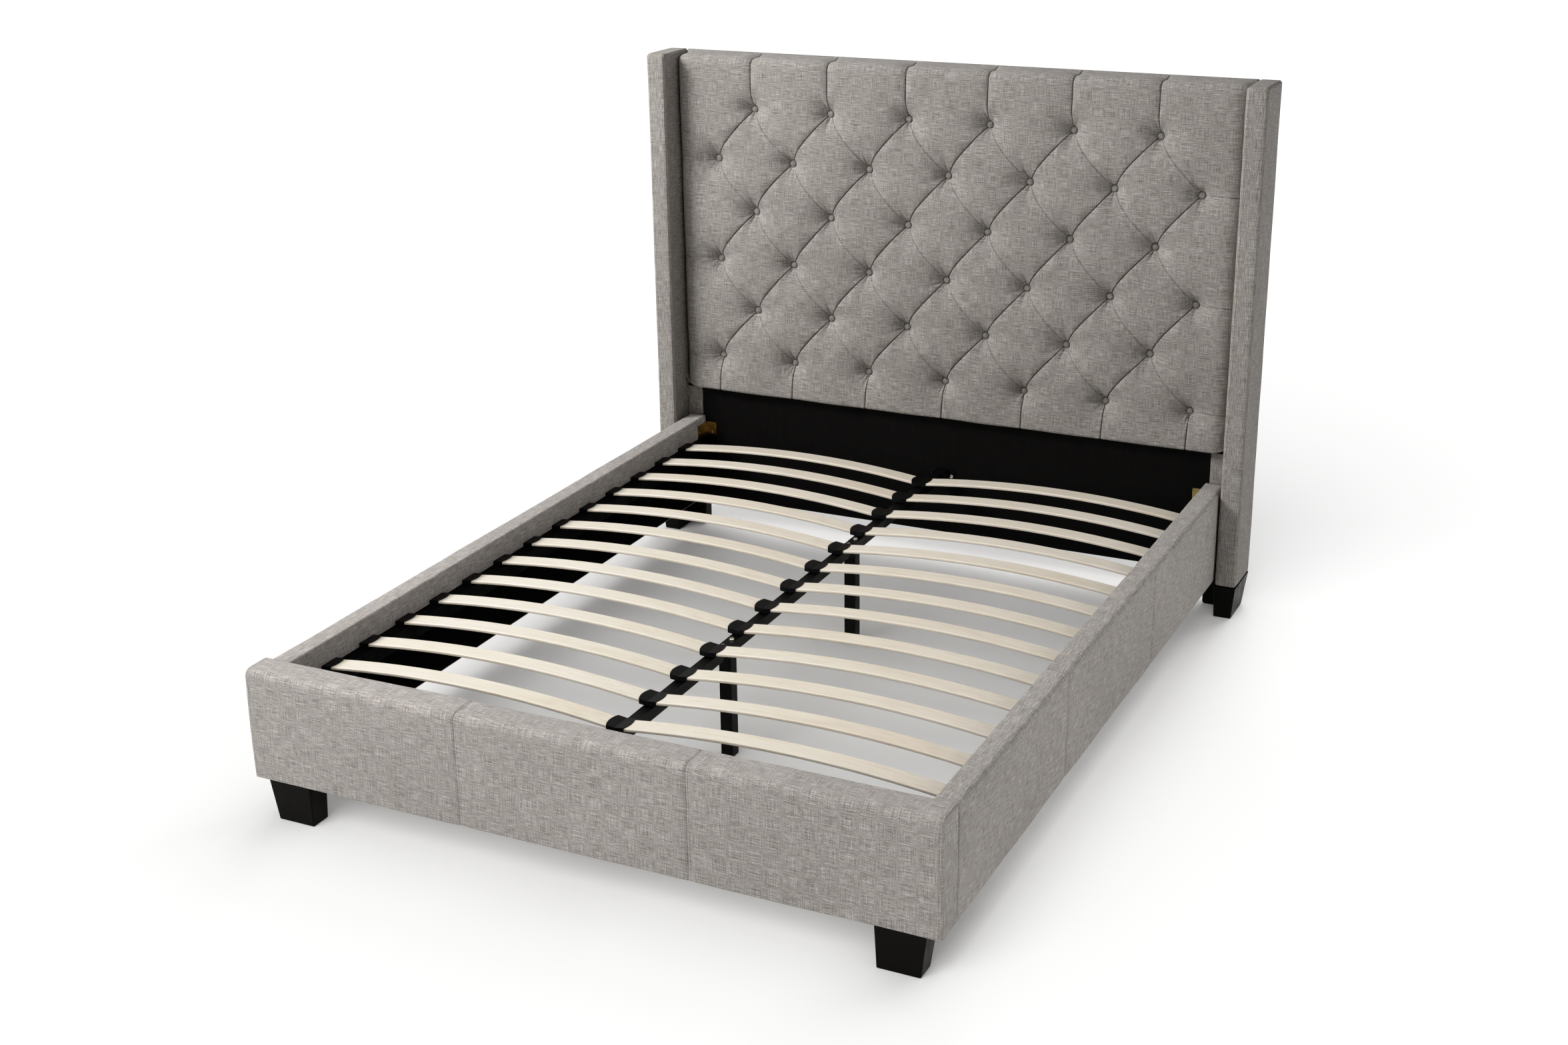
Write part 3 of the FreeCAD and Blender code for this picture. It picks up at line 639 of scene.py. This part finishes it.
def pad_profile():
    """The pad's cover from under its lower edge, up the front and over the top: s -> (y, z), normal."""
    lo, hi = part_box("headboard_pad")
    core_lo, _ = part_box("headboard_core")
    top_round, low_round = 0.030, 0.008
    runs = [core_lo.y - 0.001 - (lo.y + low_round), low_round * math.pi / 2,
            (hi.z - top_round) - (lo.z + low_round), top_round * math.pi / 2, hi.y - (lo.y + top_round)]
    ends = np.cumsum(runs)

    def place(s):
        s = np.asarray(s, float)
        y, z = np.zeros_like(s), np.zeros_like(s)
        ny, nz = np.zeros_like(s), np.zeros_like(s)
        part = s <= ends[0]
        y[part], z[part], nz[part] = core_lo.y - 0.001 - s[part], lo.z, -1
        part = (s > ends[0]) & (s <= ends[1])
        a = (s[part] - ends[0]) / low_round
        y[part], z[part] = lo.y + low_round * (1 - np.sin(a)), lo.z + low_round * (1 - np.cos(a))
        ny[part], nz[part] = -np.sin(a), -np.cos(a)
        part = (s > ends[1]) & (s <= ends[2])
        y[part], z[part], ny[part] = lo.y, lo.z + low_round + s[part] - ends[1], -1
        part = (s > ends[2]) & (s <= ends[3])
        a = (s[part] - ends[2]) / top_round
        y[part], z[part] = lo.y + top_round * (1 - np.cos(a)), hi.z - top_round * (1 - np.sin(a))
        ny[part], nz[part] = -np.cos(a), np.sin(a)
        part = s > ends[3]
        y[part], z[part], nz[part] = lo.y + top_round + s[part] - ends[3], hi.z, 1
        return y, z, ny, nz

    return place, ends, lambda z: ends[1] + z - lo.z - low_round


def button_grid():
    """Button centres as (x, z), row by row from the lowest."""
    lo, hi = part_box("headboard_buttons")
    radius = 0.011
    pitch = (hi.x - lo.x - 2 * radius) / 6
    rise = (hi.z - lo.z - 2 * radius) / 5
    rows = []
    for row in range(6):
        count = 7 - row % 2
        z = lo.z + radius + row * rise
        rows.append([((column - (count - 1) / 2) * pitch, z) for column in range(count)])
    return rows, pitch, rise


def point_tree(points):
    tree = kdtree.KDTree(len(points))
    for i, (x, s) in enumerate(points):
        tree.insert((x, s, 0), i)
    tree.balance()
    return tree


# how far from a button's middle the cover is held down
BUTTON_REACH = 0.010


class Creases:
    """Samples of the folds in the pad's cover, with the distance to the nearest one."""

    def __init__(self):
        self.lines = []

    def add(self, points):
        self.lines.append(np.array(points))

    def close(self):
        """Builds the search tree and the side vector of each sample."""
        self.places = np.concatenate(self.lines)
        tangents = np.concatenate([np.gradient(line, axis=0) for line in self.lines])
        self.tangents = tangents / np.linalg.norm(tangents, axis=1)[:, None]
        self.tree = point_tree(self.places)

    def signed_distance(self, points):
        """Distance to the nearest line, positive on its right."""
        out = np.zeros(len(points))
        for i, (x, s) in enumerate(points):
            _, index, _ = self.tree.find((x, s, 0))
            offset = np.array((x, s)) - self.places[index]
            tangent = self.tangents[index]
            side = offset[0] * tangent[1] - offset[1] * tangent[0]
            along = abs(offset @ tangent)
            out[i] = math.copysign(math.hypot(side, max(0, along - 0.002)), side)
        return out


def smooth_line(start, end, bow, sway, gap_start, gap_end):
    """A fold from one point to another: bow is a single bend, sway an S, both in metres to the left."""
    step = 0.003
    start, end = np.array(start, float), np.array(end, float)
    length = np.linalg.norm(end - start)
    along = (end - start) / length
    left = np.array((-along[1], along[0]))
    distances = np.linspace(gap_start, length - gap_end, max(3, int((length - gap_start - gap_end) / step)))
    t = distances / length
    return [start + along * d + left * (bow * math.sin(math.pi * u) + sway * math.sin(2 * math.pi * u))
            for d, u in zip(distances, t)]


def add_headboard_pad():
    place, ends, level = pad_profile()
    rows, pitch, rise = button_grid()
    _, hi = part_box("headboard_pad")
    half = hi.x
    top = ends[4]
    near, uneven = BUTTON_REACH, 0.0012
    buttons = np.array([(x, level(z)) for row in rows for x, z in row])

    deep, faint = Creases(), Creases()
    for r in range(5):
        for x, z in rows[r]:
            for side in (-1, 1):
                if abs(x + side * pitch / 2) > rows[r + 1][-1][0] + 0.01:
                    continue
                start, end = (x, level(z)), (x + side * pitch / 2, level(z + rise))
                jitter = rng.normal(0, uneven)
                if side > 0:
                    deep.add(smooth_line(start, end, 0.0058 + jitter, 0.0015, near, near))
                else:
                    faint.add(smooth_line(start, end, 0.002 + jitter, -0.002, near, near))
    for x, z in rows[5]:
        deep.add(smooth_line((x, level(z)), (x + 0.004, top), 0.0015 + rng.normal(0, uneven), 0, near, 0))
    for x, z in rows[0]:
        deep.add(smooth_line((x, level(z)), (x + rng.normal(0, 0.002), 0), 0.002, 0, near, 0))
    for row in rows[0::2]:
        for x, z in (row[0], row[-1]):
            end_x = math.copysign(half, x)
            faint.add(smooth_line((x, level(z)), (end_x, level(z) + 0.004), 0.001, 0, near, 0))
    deep.close()
    faint.close()

    flat, _, triangles = delaunay_2d_cdt(cover_points(buttons, deep, faint, half, top), [], [], 0, 1e-7)[:3]
    flat = np.array(flat)

    recess = pad_recess(flat, buttons, deep, faint, ends, half, top)
    y, z, ny, nz = place(flat[:, 1])
    fade = np.clip((top - flat[:, 1]) / 0.03, 0, 1) * np.clip((flat[:, 1]) / 0.02, 0, 1)
    recess = recess * fade
    verts = np.stack([flat[:, 0], y - ny * recess, z - nz * recess], axis=1)
    # turn the faces outward: the cover's front looks along -Y
    faces = []
    for triangle in triangles:
        a, b, c = (flat[i] for i in triangle)
        turn = (b[0] - a[0]) * (c[1] - a[1]) - (b[1] - a[1]) * (c[0] - a[0])
        faces.append(tuple(triangle) if turn > 0 else tuple(triangle)[::-1])

    # close the back along the board
    core_lo, core_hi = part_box("headboard_core")

    def edge(axis, value):
        """The cover's points along one edge, in order."""
        mine = [i for i in range(len(flat)) if abs(flat[i][axis] - value) < 1e-5]
        return sorted(mine, key=lambda i: flat[i][1 - axis])

    bottom, upper, left, right = edge(1, 0), edge(1, top), edge(0, -half), edge(0, half)
    base = len(verts)
    shelf = core_hi.z + 0.0005
    extra = [(x, y, shelf) for y in (hi.y, core_lo.y - 0.001) for x in (-half, half)]
    verts = np.vstack([verts, np.array(extra)])
    faces.append(tuple(upper) + (base + 1, base))
    faces.append((base, base + 1, base + 3, base + 2))
    faces.append(tuple(bottom[::-1]) + (base + 2, base + 3))
    faces.append(tuple(left) + (base, base + 2))
    faces.append(tuple(right[::-1]) + (base + 3, base + 1))

    def cloth(normal, vertex, spot):
        return (flat[vertex][0], flat[vertex][1]) if vertex < base else (spot.x, spot.z)

    pad = add_piece("headboard_pad_tufted", verts, faces, linen, cloth, ["headboard_pad"])


def cover_points(buttons, deep, faint, half, top):
    """Points of the flat cover: lines beside each fold, rings round each button, and an even field between."""
    points = []
    for creases, offsets in ((deep, (0, 0.0008, 0.0018, 0.0035, 0.0065, 0.011)),
                             (faint, (0, 0.0012, 0.0026, 0.0055))):
        for line in creases.lines:
            tangent = np.gradient(line, axis=0)
            tangent /= np.linalg.norm(tangent, axis=1)[:, None]
            left = np.stack([-tangent[:, 1], tangent[:, 0]], axis=1)
            reach = np.linalg.norm(line[:, None] - buttons[None], axis=2).min(axis=1)
            for offset in offsets:
                for sign in ((1, -1) if offset else (1,)):
                    kept = offset < reach * 0.33
                    points.append((line + left * offset * sign)[kept])
    rings = (0.0, 0.004, 0.0075, 0.0098, 0.0112, 0.0128, 0.0148, 0.0175, 0.021, 0.0255, 0.031, 0.0375, 0.045)
    for centre in buttons:
        for k, radius in enumerate(rings):
            around = 72 if radius > 0.009 else 12
            angles = (np.arange(around) + 0.5 * (k % 2)) * 2 * math.pi / around
            points.append(centre + radius * np.stack([np.cos(angles), np.sin(angles)], axis=1))
    special = np.concatenate(points)
    spacing, clear, margin = 0.0075, 0.0042, 0.0015
    columns, lines = round(2 * half / spacing), round(top / spacing)
    field = []
    for j in range(1, lines):
        for i in range(1, columns):
            field.append((-half + (i + 0.5 * (j % 2)) * 2 * half / columns, j * top / lines))
    field = np.array(field)
    field = field[np.abs(field[:, 0]) < half - 0.002]
    tree = point_tree(special)
    field = np.array([p for p in field if tree.find((p[0], p[1], 0))[2] > clear])
    x, s = special[:, 0], special[:, 1]
    inside = (np.abs(x) < half - margin) & (s > margin) & (s < top - margin)
    border = [(x, s) for x in np.linspace(-half, half, columns + 1) for s in (0.0, top)]
    border += [(x, s) for s in np.linspace(0, top, lines + 1)[1:-1] for x in (-half, half)]
    for line in deep.lines:
        for x, s in (line[0], line[-1]):
            if s < 0.001 or s > top - 0.001:
                border.append((float(x), 0.0 if s < 0.001 else top))
    clean, used = [], set()
    closest = 0.0006
    for x, s in border + list(special[inside]) + list(field):
        key = (round(x / closest), round(s / closest))
        if key in used:
            continue
        used.add(key)
        clean.append((float(x), float(s)))
    return clean


def pad_recess(flat, buttons, deep, faint, ends, half, top):
    """How far each point of the cover is pulled in from the pad's flat front."""
    x, s = flat[:, 0], flat[:, 1]
    d_deep = deep.signed_distance(flat)
    d_faint = faint.signed_distance(flat)
    away = np.linalg.norm(flat[:, None] - buttons[None], axis=2)
    closest = away.argmin(axis=1)
    d_button = away.min(axis=1)

    dimple = 0.0335 * np.exp(-np.clip(d_button - BUTTON_REACH, 0, None) / 0.030)
    dimple = np.where(d_button < BUTTON_REACH, 0.0385, dimple)
    rim = np.clip((0.0135 - d_button) / 0.0035, 0, 1)
    dimple += 0.003 * rim * (d_button >= BUTTON_REACH)

    fold = 0.0090 * np.exp(-np.abs(d_deep) / 0.018) * (0.25 + 0.75 * np.clip((s - ends[1]) / 0.05, 0, 1))
    slit = 0.0080 * bell(d_deep, 0.00095) * (d_button > 0.0095)
    # the faint folds lap a little to one side
    lap = 0.0042 * np.exp(-np.abs(d_faint) / 0.020) + 0.0012 * bell(d_faint, 0.0012)
    lap -= 0.0021 * bell(d_faint + 0.0026, 0.0017)

    pucker = np.zeros(len(flat))
    angle = np.arctan2(s - buttons[closest][:, 1], x - buttons[closest][:, 0])
    pleats = [(103, 3.4), (126, 2.6), (150, 2.4), (174, 2.2), (202, 1.8), (232, 1.2), (259, 2.8), (288, 1.0),
              (335, 0.7), (20, 0.7), (66, 1.0)]
    for k in range(len(buttons)):
        mine = closest == k
        for degrees, size in pleats:
            centre = math.radians(degrees + rng.normal(0, 7))
            amount = 0.0015 * size * max(0.2, 1 + rng.normal(0, 0.35))
            width = math.radians(6.5 + rng.uniform(0, 4))
            reach = 0.016 + rng.uniform(0, 0.012)
            turn = np.angle(np.exp(1j * (angle[mine] - centre)))
            d = d_button[mine]
            envelope = np.clip((d - BUTTON_REACH) / 0.008, 0, 1) * np.exp(-np.clip(d - 0.018, 0, None) / reach)
            pucker[mine] += amount * envelope * bell(turn, width)

    # the cover rolls back where it meets the wings, more towards the bottom
    edge = half - np.abs(x)
    share = np.clip(s / top, 0, 1)
    roll = (0.026 - 0.013 * share) * np.clip(1 - edge / 0.050, 0, 1) ** 2.2
    roll += 0.014 * np.exp(-edge / 0.004)
    slack = np.array([noise.noise(Vector((px * 7, ps * 9, 3.0))) for px, ps in flat]) * 0.0012
    return np.clip(np.maximum(dimple, fold) + slit + lap + pucker + roll + slack + 0.0012, 0, 0.0475)


def add_buttons():
    rows, _, _ = button_grid()
    lo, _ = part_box("headboard_buttons")
    profile = [(0.0, 0.0), (0.0033, 0.00015), (0.0061, 0.0008), (0.0083, 0.0019), (0.0097, 0.0035),
               (0.0102, 0.0052), (0.0100, 0.0068), (0.0092, 0.0079)]
    around = 28
    verts, faces, maps = [], [], []
    for row in rows:
        for x, z in row:
            tilt_x, tilt_z = rng.normal(0, 0.03), rng.normal(0, 0.03)
            turn = rng.uniform(0, math.pi)
            base = len(verts)
            verts.append((x, lo.y, z))
            maps.append((x, z))
            for radius, depth in profile[1:]:
                for k in range(around):
                    a = k * 2 * math.pi / around
                    ruffle = 1 + 0.012 * math.sin(a * 9 + turn * 5) * (radius > 0.009)
                    dx, dz = radius * ruffle * math.cos(a), radius * ruffle * math.sin(a)
                    verts.append((x + dx, lo.y + depth + dx * tilt_x + dz * tilt_z, z + dz))
                    maps.append((x + dx * math.cos(turn) - dz * math.sin(turn),
                                 z + dx * math.sin(turn) + dz * math.cos(turn)))
            for k in range(around):
                after = (k + 1) % around
                faces.append((base, base + 1 + k, base + 1 + after))
                for j in range(len(profile) - 2):
                    a, b = base + 1 + j * around, base + 1 + (j + 1) * around
                    faces.append((a + k, b + k, b + after, a + after))
            faces.append(tuple(base + 1 + (len(profile) - 2) * around + k for k in range(around))[::-1])
    add_piece("headboard_buttons_covered", verts, faces, linen_button,
              lambda normal, vertex, spot: maps[vertex], ["headboard_buttons"])


# ---------------------------------------------------------------- wings, rails and footboard


def add_wing(side, stitches):
    lo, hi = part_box("wing_cover_" + side)
    corners = [(lo.x, lo.y), (hi.x, lo.y), (hi.x, hi.y), (lo.x, hi.y)]
    radius = 0.0085
    wing = Loft(2, (lo.z, hi.z), corners, [radius, radius, 0.006, 0.006], 0.009, 0.016, arc_steps=6,
                ring_extra=(0.0015, 0.004, 0.008), cap_rings=5)
    crown, seam_depth, seam_width = 0.0009, 0.0016, 0.30

    def shape(points, normals):
        """A slightly stuffed panel with its seams drawn in along the front corners and the top edge."""
        x = (points[..., 0] - lo.x) / (hi.x - lo.x)
        y = (points[..., 1] - lo.y) / (hi.y - lo.y)
        belly = crown * (np.abs(normals[..., 1]) * 4 * x * (1 - x) + np.abs(normals[..., 0]) * 4 * y * (1 - y))
        corner = np.abs(np.abs(normals[..., 0]) - np.abs(normals[..., 1]))
        front = (normals[..., 1] < -0.2) & (np.abs(normals[..., 0]) > 0.2)
        seam = np.where(front, groove(corner, seam_depth, seam_width), 0)
        upward = np.abs(np.abs(normals[..., 2]) - np.abs(normals[..., 0]))
        over = (normals[..., 2] > 0.2) & (np.abs(normals[..., 0]) > 0.2)
        seam = np.where(over, np.minimum(seam, groove(upward, seam_depth, seam_width)), seam)
        return belly + seam - crown

    wing.push(shape)
    wing.push(wavy(7.0, 0.0011, 3.0 if side == "left" else 9.0))

    def cloth(normal, vertex, spot):
        if abs(normal.x) > 0.6:
            return (spot.y, spot.z)
        if abs(normal.z) > 0.6:
            return (spot.y + 3.1, spot.x)
        return (spot.z + 1.7, spot.x)

    upholster("wing_upholstery_" + side, wing, cloth, "wing_cover_" + side)
    # stitches on the front strip, beside the seams at both of its corners
    width = hi.x - lo.x
    for position in (radius * math.pi / 2 + 0.0025, radius * math.pi / 2 + (width - 2 * radius) - 0.0025):
        stitches.append(wing.line_along(position, lo.z + 0.01, hi.z - 0.01))


def add_post_cover(side):
    lo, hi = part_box("post_cover_" + side)
    corners = [(lo.x + 0.0002, lo.y), (hi.x - 0.0002, lo.y), (hi.x - 0.0002, hi.y), (lo.x + 0.0002, hi.y)]
    strip = Loft(2, (lo.z, hi.z), corners, [0.0016, 0.0016, 0.0005, 0.0005], 0.0015, 0.012, arc_steps=3)
    strip.push(wavy(11.0, 0.0006, 5.0))
    upholster("post_upholstery_" + side, strip, lambda normal, vertex, spot: (spot.z, spot.x),
              "post_cover_" + side)


STITCH_INSET = 0.005


def seam_marks(seams):
    """Stations close together on both sides of each seam."""
    steps = (0, 0.0008, 0.0018, 0.0032, 0.005, 0.0075, 0.011, 0.016)
    return [seam + sign * step for seam in seams for step in steps for sign in (-1, 1)]


def upholster(name, loft, cloth_map, node):
    """The linen over one board or box: thin foam and cover as a single padded piece."""
    piece = add_piece(name, loft.points.reshape(-1, 3), loft.faces(), linen, cloth_map, [node])


def seam_shape(axis, seams):
    """Draws the cover in along seams across the bar, with a slight swell beside each."""
    def shape(points, normals):
        total = np.zeros(points.shape[:2])
        for seam in seams:
            d = np.abs(points[..., axis] - seam)
            total += groove(d, 0.0017, 0.0011) - 0.0009 * bell(d, 0.012)
        return total
    return shape


def add_footboard(stitches):
    lo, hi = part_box("footboard_cover")
    corners = [(hi.y, lo.z), (hi.y, hi.z), (lo.y, hi.z), (lo.y, lo.z)]
    seams = [hi.x / 3 * sign for sign in (-1, 1)]
    end_round = 0.0055
    board = Loft(0, (lo.x, hi.x), corners, [0.004, 0.010, 0.020, 0.004], end_round, 0.014,
                 seam_marks(seams), arc_steps=8, cap_rings=7)

    def puff(points, normals):
        z = (points[..., 2] - lo.z) / (hi.z - lo.z)
        front = np.clip(-normals[..., 1], 0, 1)
        belly = 0.0016 * front * np.clip(4 * z * (1 - z), 0, 1)
        lift = 0.0006 * np.clip(normals[..., 2], 0, 1)
        ends = np.abs(normals[..., 0])
        seam = np.where((ends > 0.25) & (ends < 0.97), groove(ends - 0.707, 0.0014, 0.22), 0)
        return belly + lift + seam - 0.0010

    board.push(puff)
    board.push(seam_shape(0, seams))
    board.push(wavy(5.0, 0.0014, 1.0))
    upholster("footboard_upholstery", board, board.wrapped_map(), "footboard_cover")
    for seam in seams:
        for offset in (-STITCH_INSET, STITCH_INSET):
            stitches.append(board.line_round(seam + offset))
    for end in (lo.x + end_round + 0.004, hi.x - end_round - 0.004):
        stitches.append(board.line_round(end))


def add_rail(side, stitches):
    name = "side_rail_cover_" + side
    lo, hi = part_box(name)
    ledge_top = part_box("slat_ledge_" + side)[1].z
    notch = 0.0051
    if side == "right":
        corners = [(lo.x + notch, lo.z), (hi.x, lo.z), (hi.x, hi.z), (lo.x, hi.z), (lo.x, ledge_top + 0.0003),
                   (lo.x + notch, ledge_top + 0.0003)]
        radii = [0.0005, 0.005, 0.014, 0.006, 0.0005, 0]
    else:
        corners = [(hi.x - notch, lo.z), (hi.x - notch, ledge_top + 0.0003), (hi.x, ledge_top + 0.0003),
                   (hi.x, hi.z), (lo.x, hi.z), (lo.x, lo.z)]
        radii = [0.0005, 0, 0.0005, 0.006, 0.014, 0.005]
    length = hi.y - lo.y
    seams = [lo.y + length / 3, lo.y + length * 2 / 3]
    rail = Loft(1, (lo.y + 0.0008, hi.y), corners, radii, 0, 0.014, seam_marks(seams), arc_steps=6)
    outward = 1 if side == "right" else -1

    def puff(points, normals):
        z = (points[..., 2] - lo.z) / (hi.z - lo.z)
        outer = np.clip(outward * normals[..., 0], 0, 1)
        inner = np.clip(-outward * normals[..., 0], 0, 1)
        return 0.0012 * outer * np.clip(4 * z * (1 - z), 0, 1) + 0.0004 * inner * (z > 0.8) - 0.0008

    def masked(shape):
        """Leaves the hidden inner step as it is."""
        def amount(points, normals):
            hidden = points[..., 2] < ledge_top + 0.002
            hidden &= (outward * points[..., 0] < outward * (lo.x if side == "right" else hi.x) + notch + 0.001)
            return np.where(hidden, 0, shape(points, normals))
        return amount

    rail.push(masked(puff))
    rail.push(masked(seam_shape(1, seams)))
    rail.push(masked(wavy(5.0, 0.0013, 21.0 if side == "left" else 33.0)))
    upholster("side_rail_upholstery_" + side, rail, rail.wrapped_map(), name)
    shown = [k for k in range(rail.points.shape[1])
             if not (rail.points[0, k, 2] < ledge_top + 0.002
                     and abs(rail.points[0, k, 0] - (lo.x if side == "right" else hi.x)) < notch + 0.001)]
    for seam in seams:
        for offset in (-STITCH_INSET, STITCH_INSET):
            places, ups = rail.line_round(seam + offset)
            stitches.append((places[shown], ups[shown]))


# ---------------------------------------------------------------- black cloth panels


def add_cloth_panel(name, node, axis, outward, slack, material):
    """A thin cloth pulled over a flat area: a closed sheet with slow wrinkles."""
    lo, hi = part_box(node)
    u_axis, v_axis = [a for a in range(3) if a != axis]
    us, vs = (spaced(lo[a], hi[a], 0.02) for a in (u_axis, v_axis))
    face, back = (hi[axis], lo[axis]) if outward > 0 else (lo[axis], hi[axis])
    cloth_share = 0.35
    verts = []
    for layer in (0, 1):
        for u in us:
            for v in vs:
                rim = min(u - us[0], us[-1] - u, v - vs[0], vs[-1] - v)
                calm = min(1, rim / 0.05)
                drift = noise.noise(Vector((u * 2.2, v * 3.1, 4.0)))
                drift += 0.5 * noise.noise(Vector((u * 9, v * 2.5, 8)))
                spot = [0, 0, 0]
                spot[u_axis], spot[v_axis] = u, v
                inner = back + (face - back) * 0.45
                spot[axis] = inner + (face - back) * (cloth_share * (layer == 0) + slack * drift * calm)
                verts.append(spot)
    count_v = len(vs)
    total = len(us) * count_v
    faces = []
    for i in range(len(us) - 1):
        for j in range(count_v - 1):
            a, d = i * count_v + j, i * count_v + j + 1
            b, c = a + count_v, d + count_v
            faces.append((a, b, c, d))
            faces.append((total + d, total + c, total + b, total + a))
    rim = [i * count_v for i in range(len(us))] + [(len(us) - 1) * count_v + j for j in range(1, count_v)]
    rim += [i * count_v + count_v - 1 for i in range(len(us) - 2, -1, -1)]
    rim += [j for j in range(count_v - 2, 0, -1)]
    for i in range(len(rim)):
        a, b = rim[i], rim[(i + 1) % len(rim)]
        faces.append((b, a, total + a, total + b))
    if (outward > 0) == (axis == 1):
        faces = [f[::-1] for f in faces]
    piece = add_piece(name, verts, faces, material, None, [node])


# ---------------------------------------------------------------- CAD pieces that stay


def both(name):
    return name + "_left", name + "_right"


def refinish(material, *nodes):
    """Gives CAD nodes a better material."""
    for node in nodes:
        for slot in frame["nodes"][node].material_slots:
            slot.material = material


add_camera()
add_studio()
linen = linen_material("Linen", 0.87)
linen_button = linen_material("LinenButton", 0.80)
thread = thread_material()

add_headboard_pad()
add_buttons()
stitch_rows = []
for side_name in ("left", "right"):
    add_wing(side_name, stitch_rows)
    add_post_cover(side_name)
    add_rail(side_name, stitch_rows)
add_footboard(stitch_rows)
add_stitches("topstitching", stitch_rows)

add_cloth_panel("headboard_back_cloth", "headboard_back_cover", 1, 1,
                0.30, dust_cloth_material("BackCloth", 4.5))
dust_cloth = dust_cloth_material("DustCloth", 1.0)
for side_name, facing in (("left", 1), ("right", -1)):
    add_cloth_panel("side_rail_dust_cloth_" + side_name, "side_rail_lining_" + side_name, 0, facing,
                    0.25, dust_cloth)

refinish(birch_material(), *("slat_row_%02d" % (k + 1) for k in range(13)))
foot_wood = dark_wood_material("BlackStainedWood", (0.0055, 0.0050, 0.0044), 0.40, 0.16)
refinish(foot_wood, *both("rear_foot"), *both("front_foot"), *both("headboard_post"))
refinish(dark_wood_material("BlackBatten", (0.0035, 0.0034, 0.0034), 0.6, 0.10), *both("slat_ledge"))
refinish(dark_wood_material("BlackPanel", (0.0064, 0.0058, 0.0056), 0.66, 0.10), "lower_panel")
refinish(dark_wood_material("FrameBoard", (0.42, 0.31, 0.20), 0.7, 0.2), "headboard_core", "footboard_core",
         *both("wing_core"), *both("side_rail_core"))
refinish(powder_material("BlackPowderCoat", (0.0045, 0.0045, 0.0045), 0.42, 700), "centre_rail",
         "centre_bracket_head", "centre_bracket_foot", "support_leg_head", "support_leg_foot")
refinish(powder_material("BlackPlastic", (0.006, 0.006, 0.006), 0.36, 420), *both("side_caps"), "centre_caps",
         "support_leg_cap_head", "support_leg_cap_foot", "ledge_screws")
refinish(zinc_material(), *both("corner_bracket_head"), *both("corner_bracket_foot"), "corner_bracket_bolts")
refinish(steel_material(), "centre_bracket_screws", "support_leg_bolts", "support_leg_nuts")

light_the_bed()
set_picture_contrast()
bpy.context.view_layer.update()
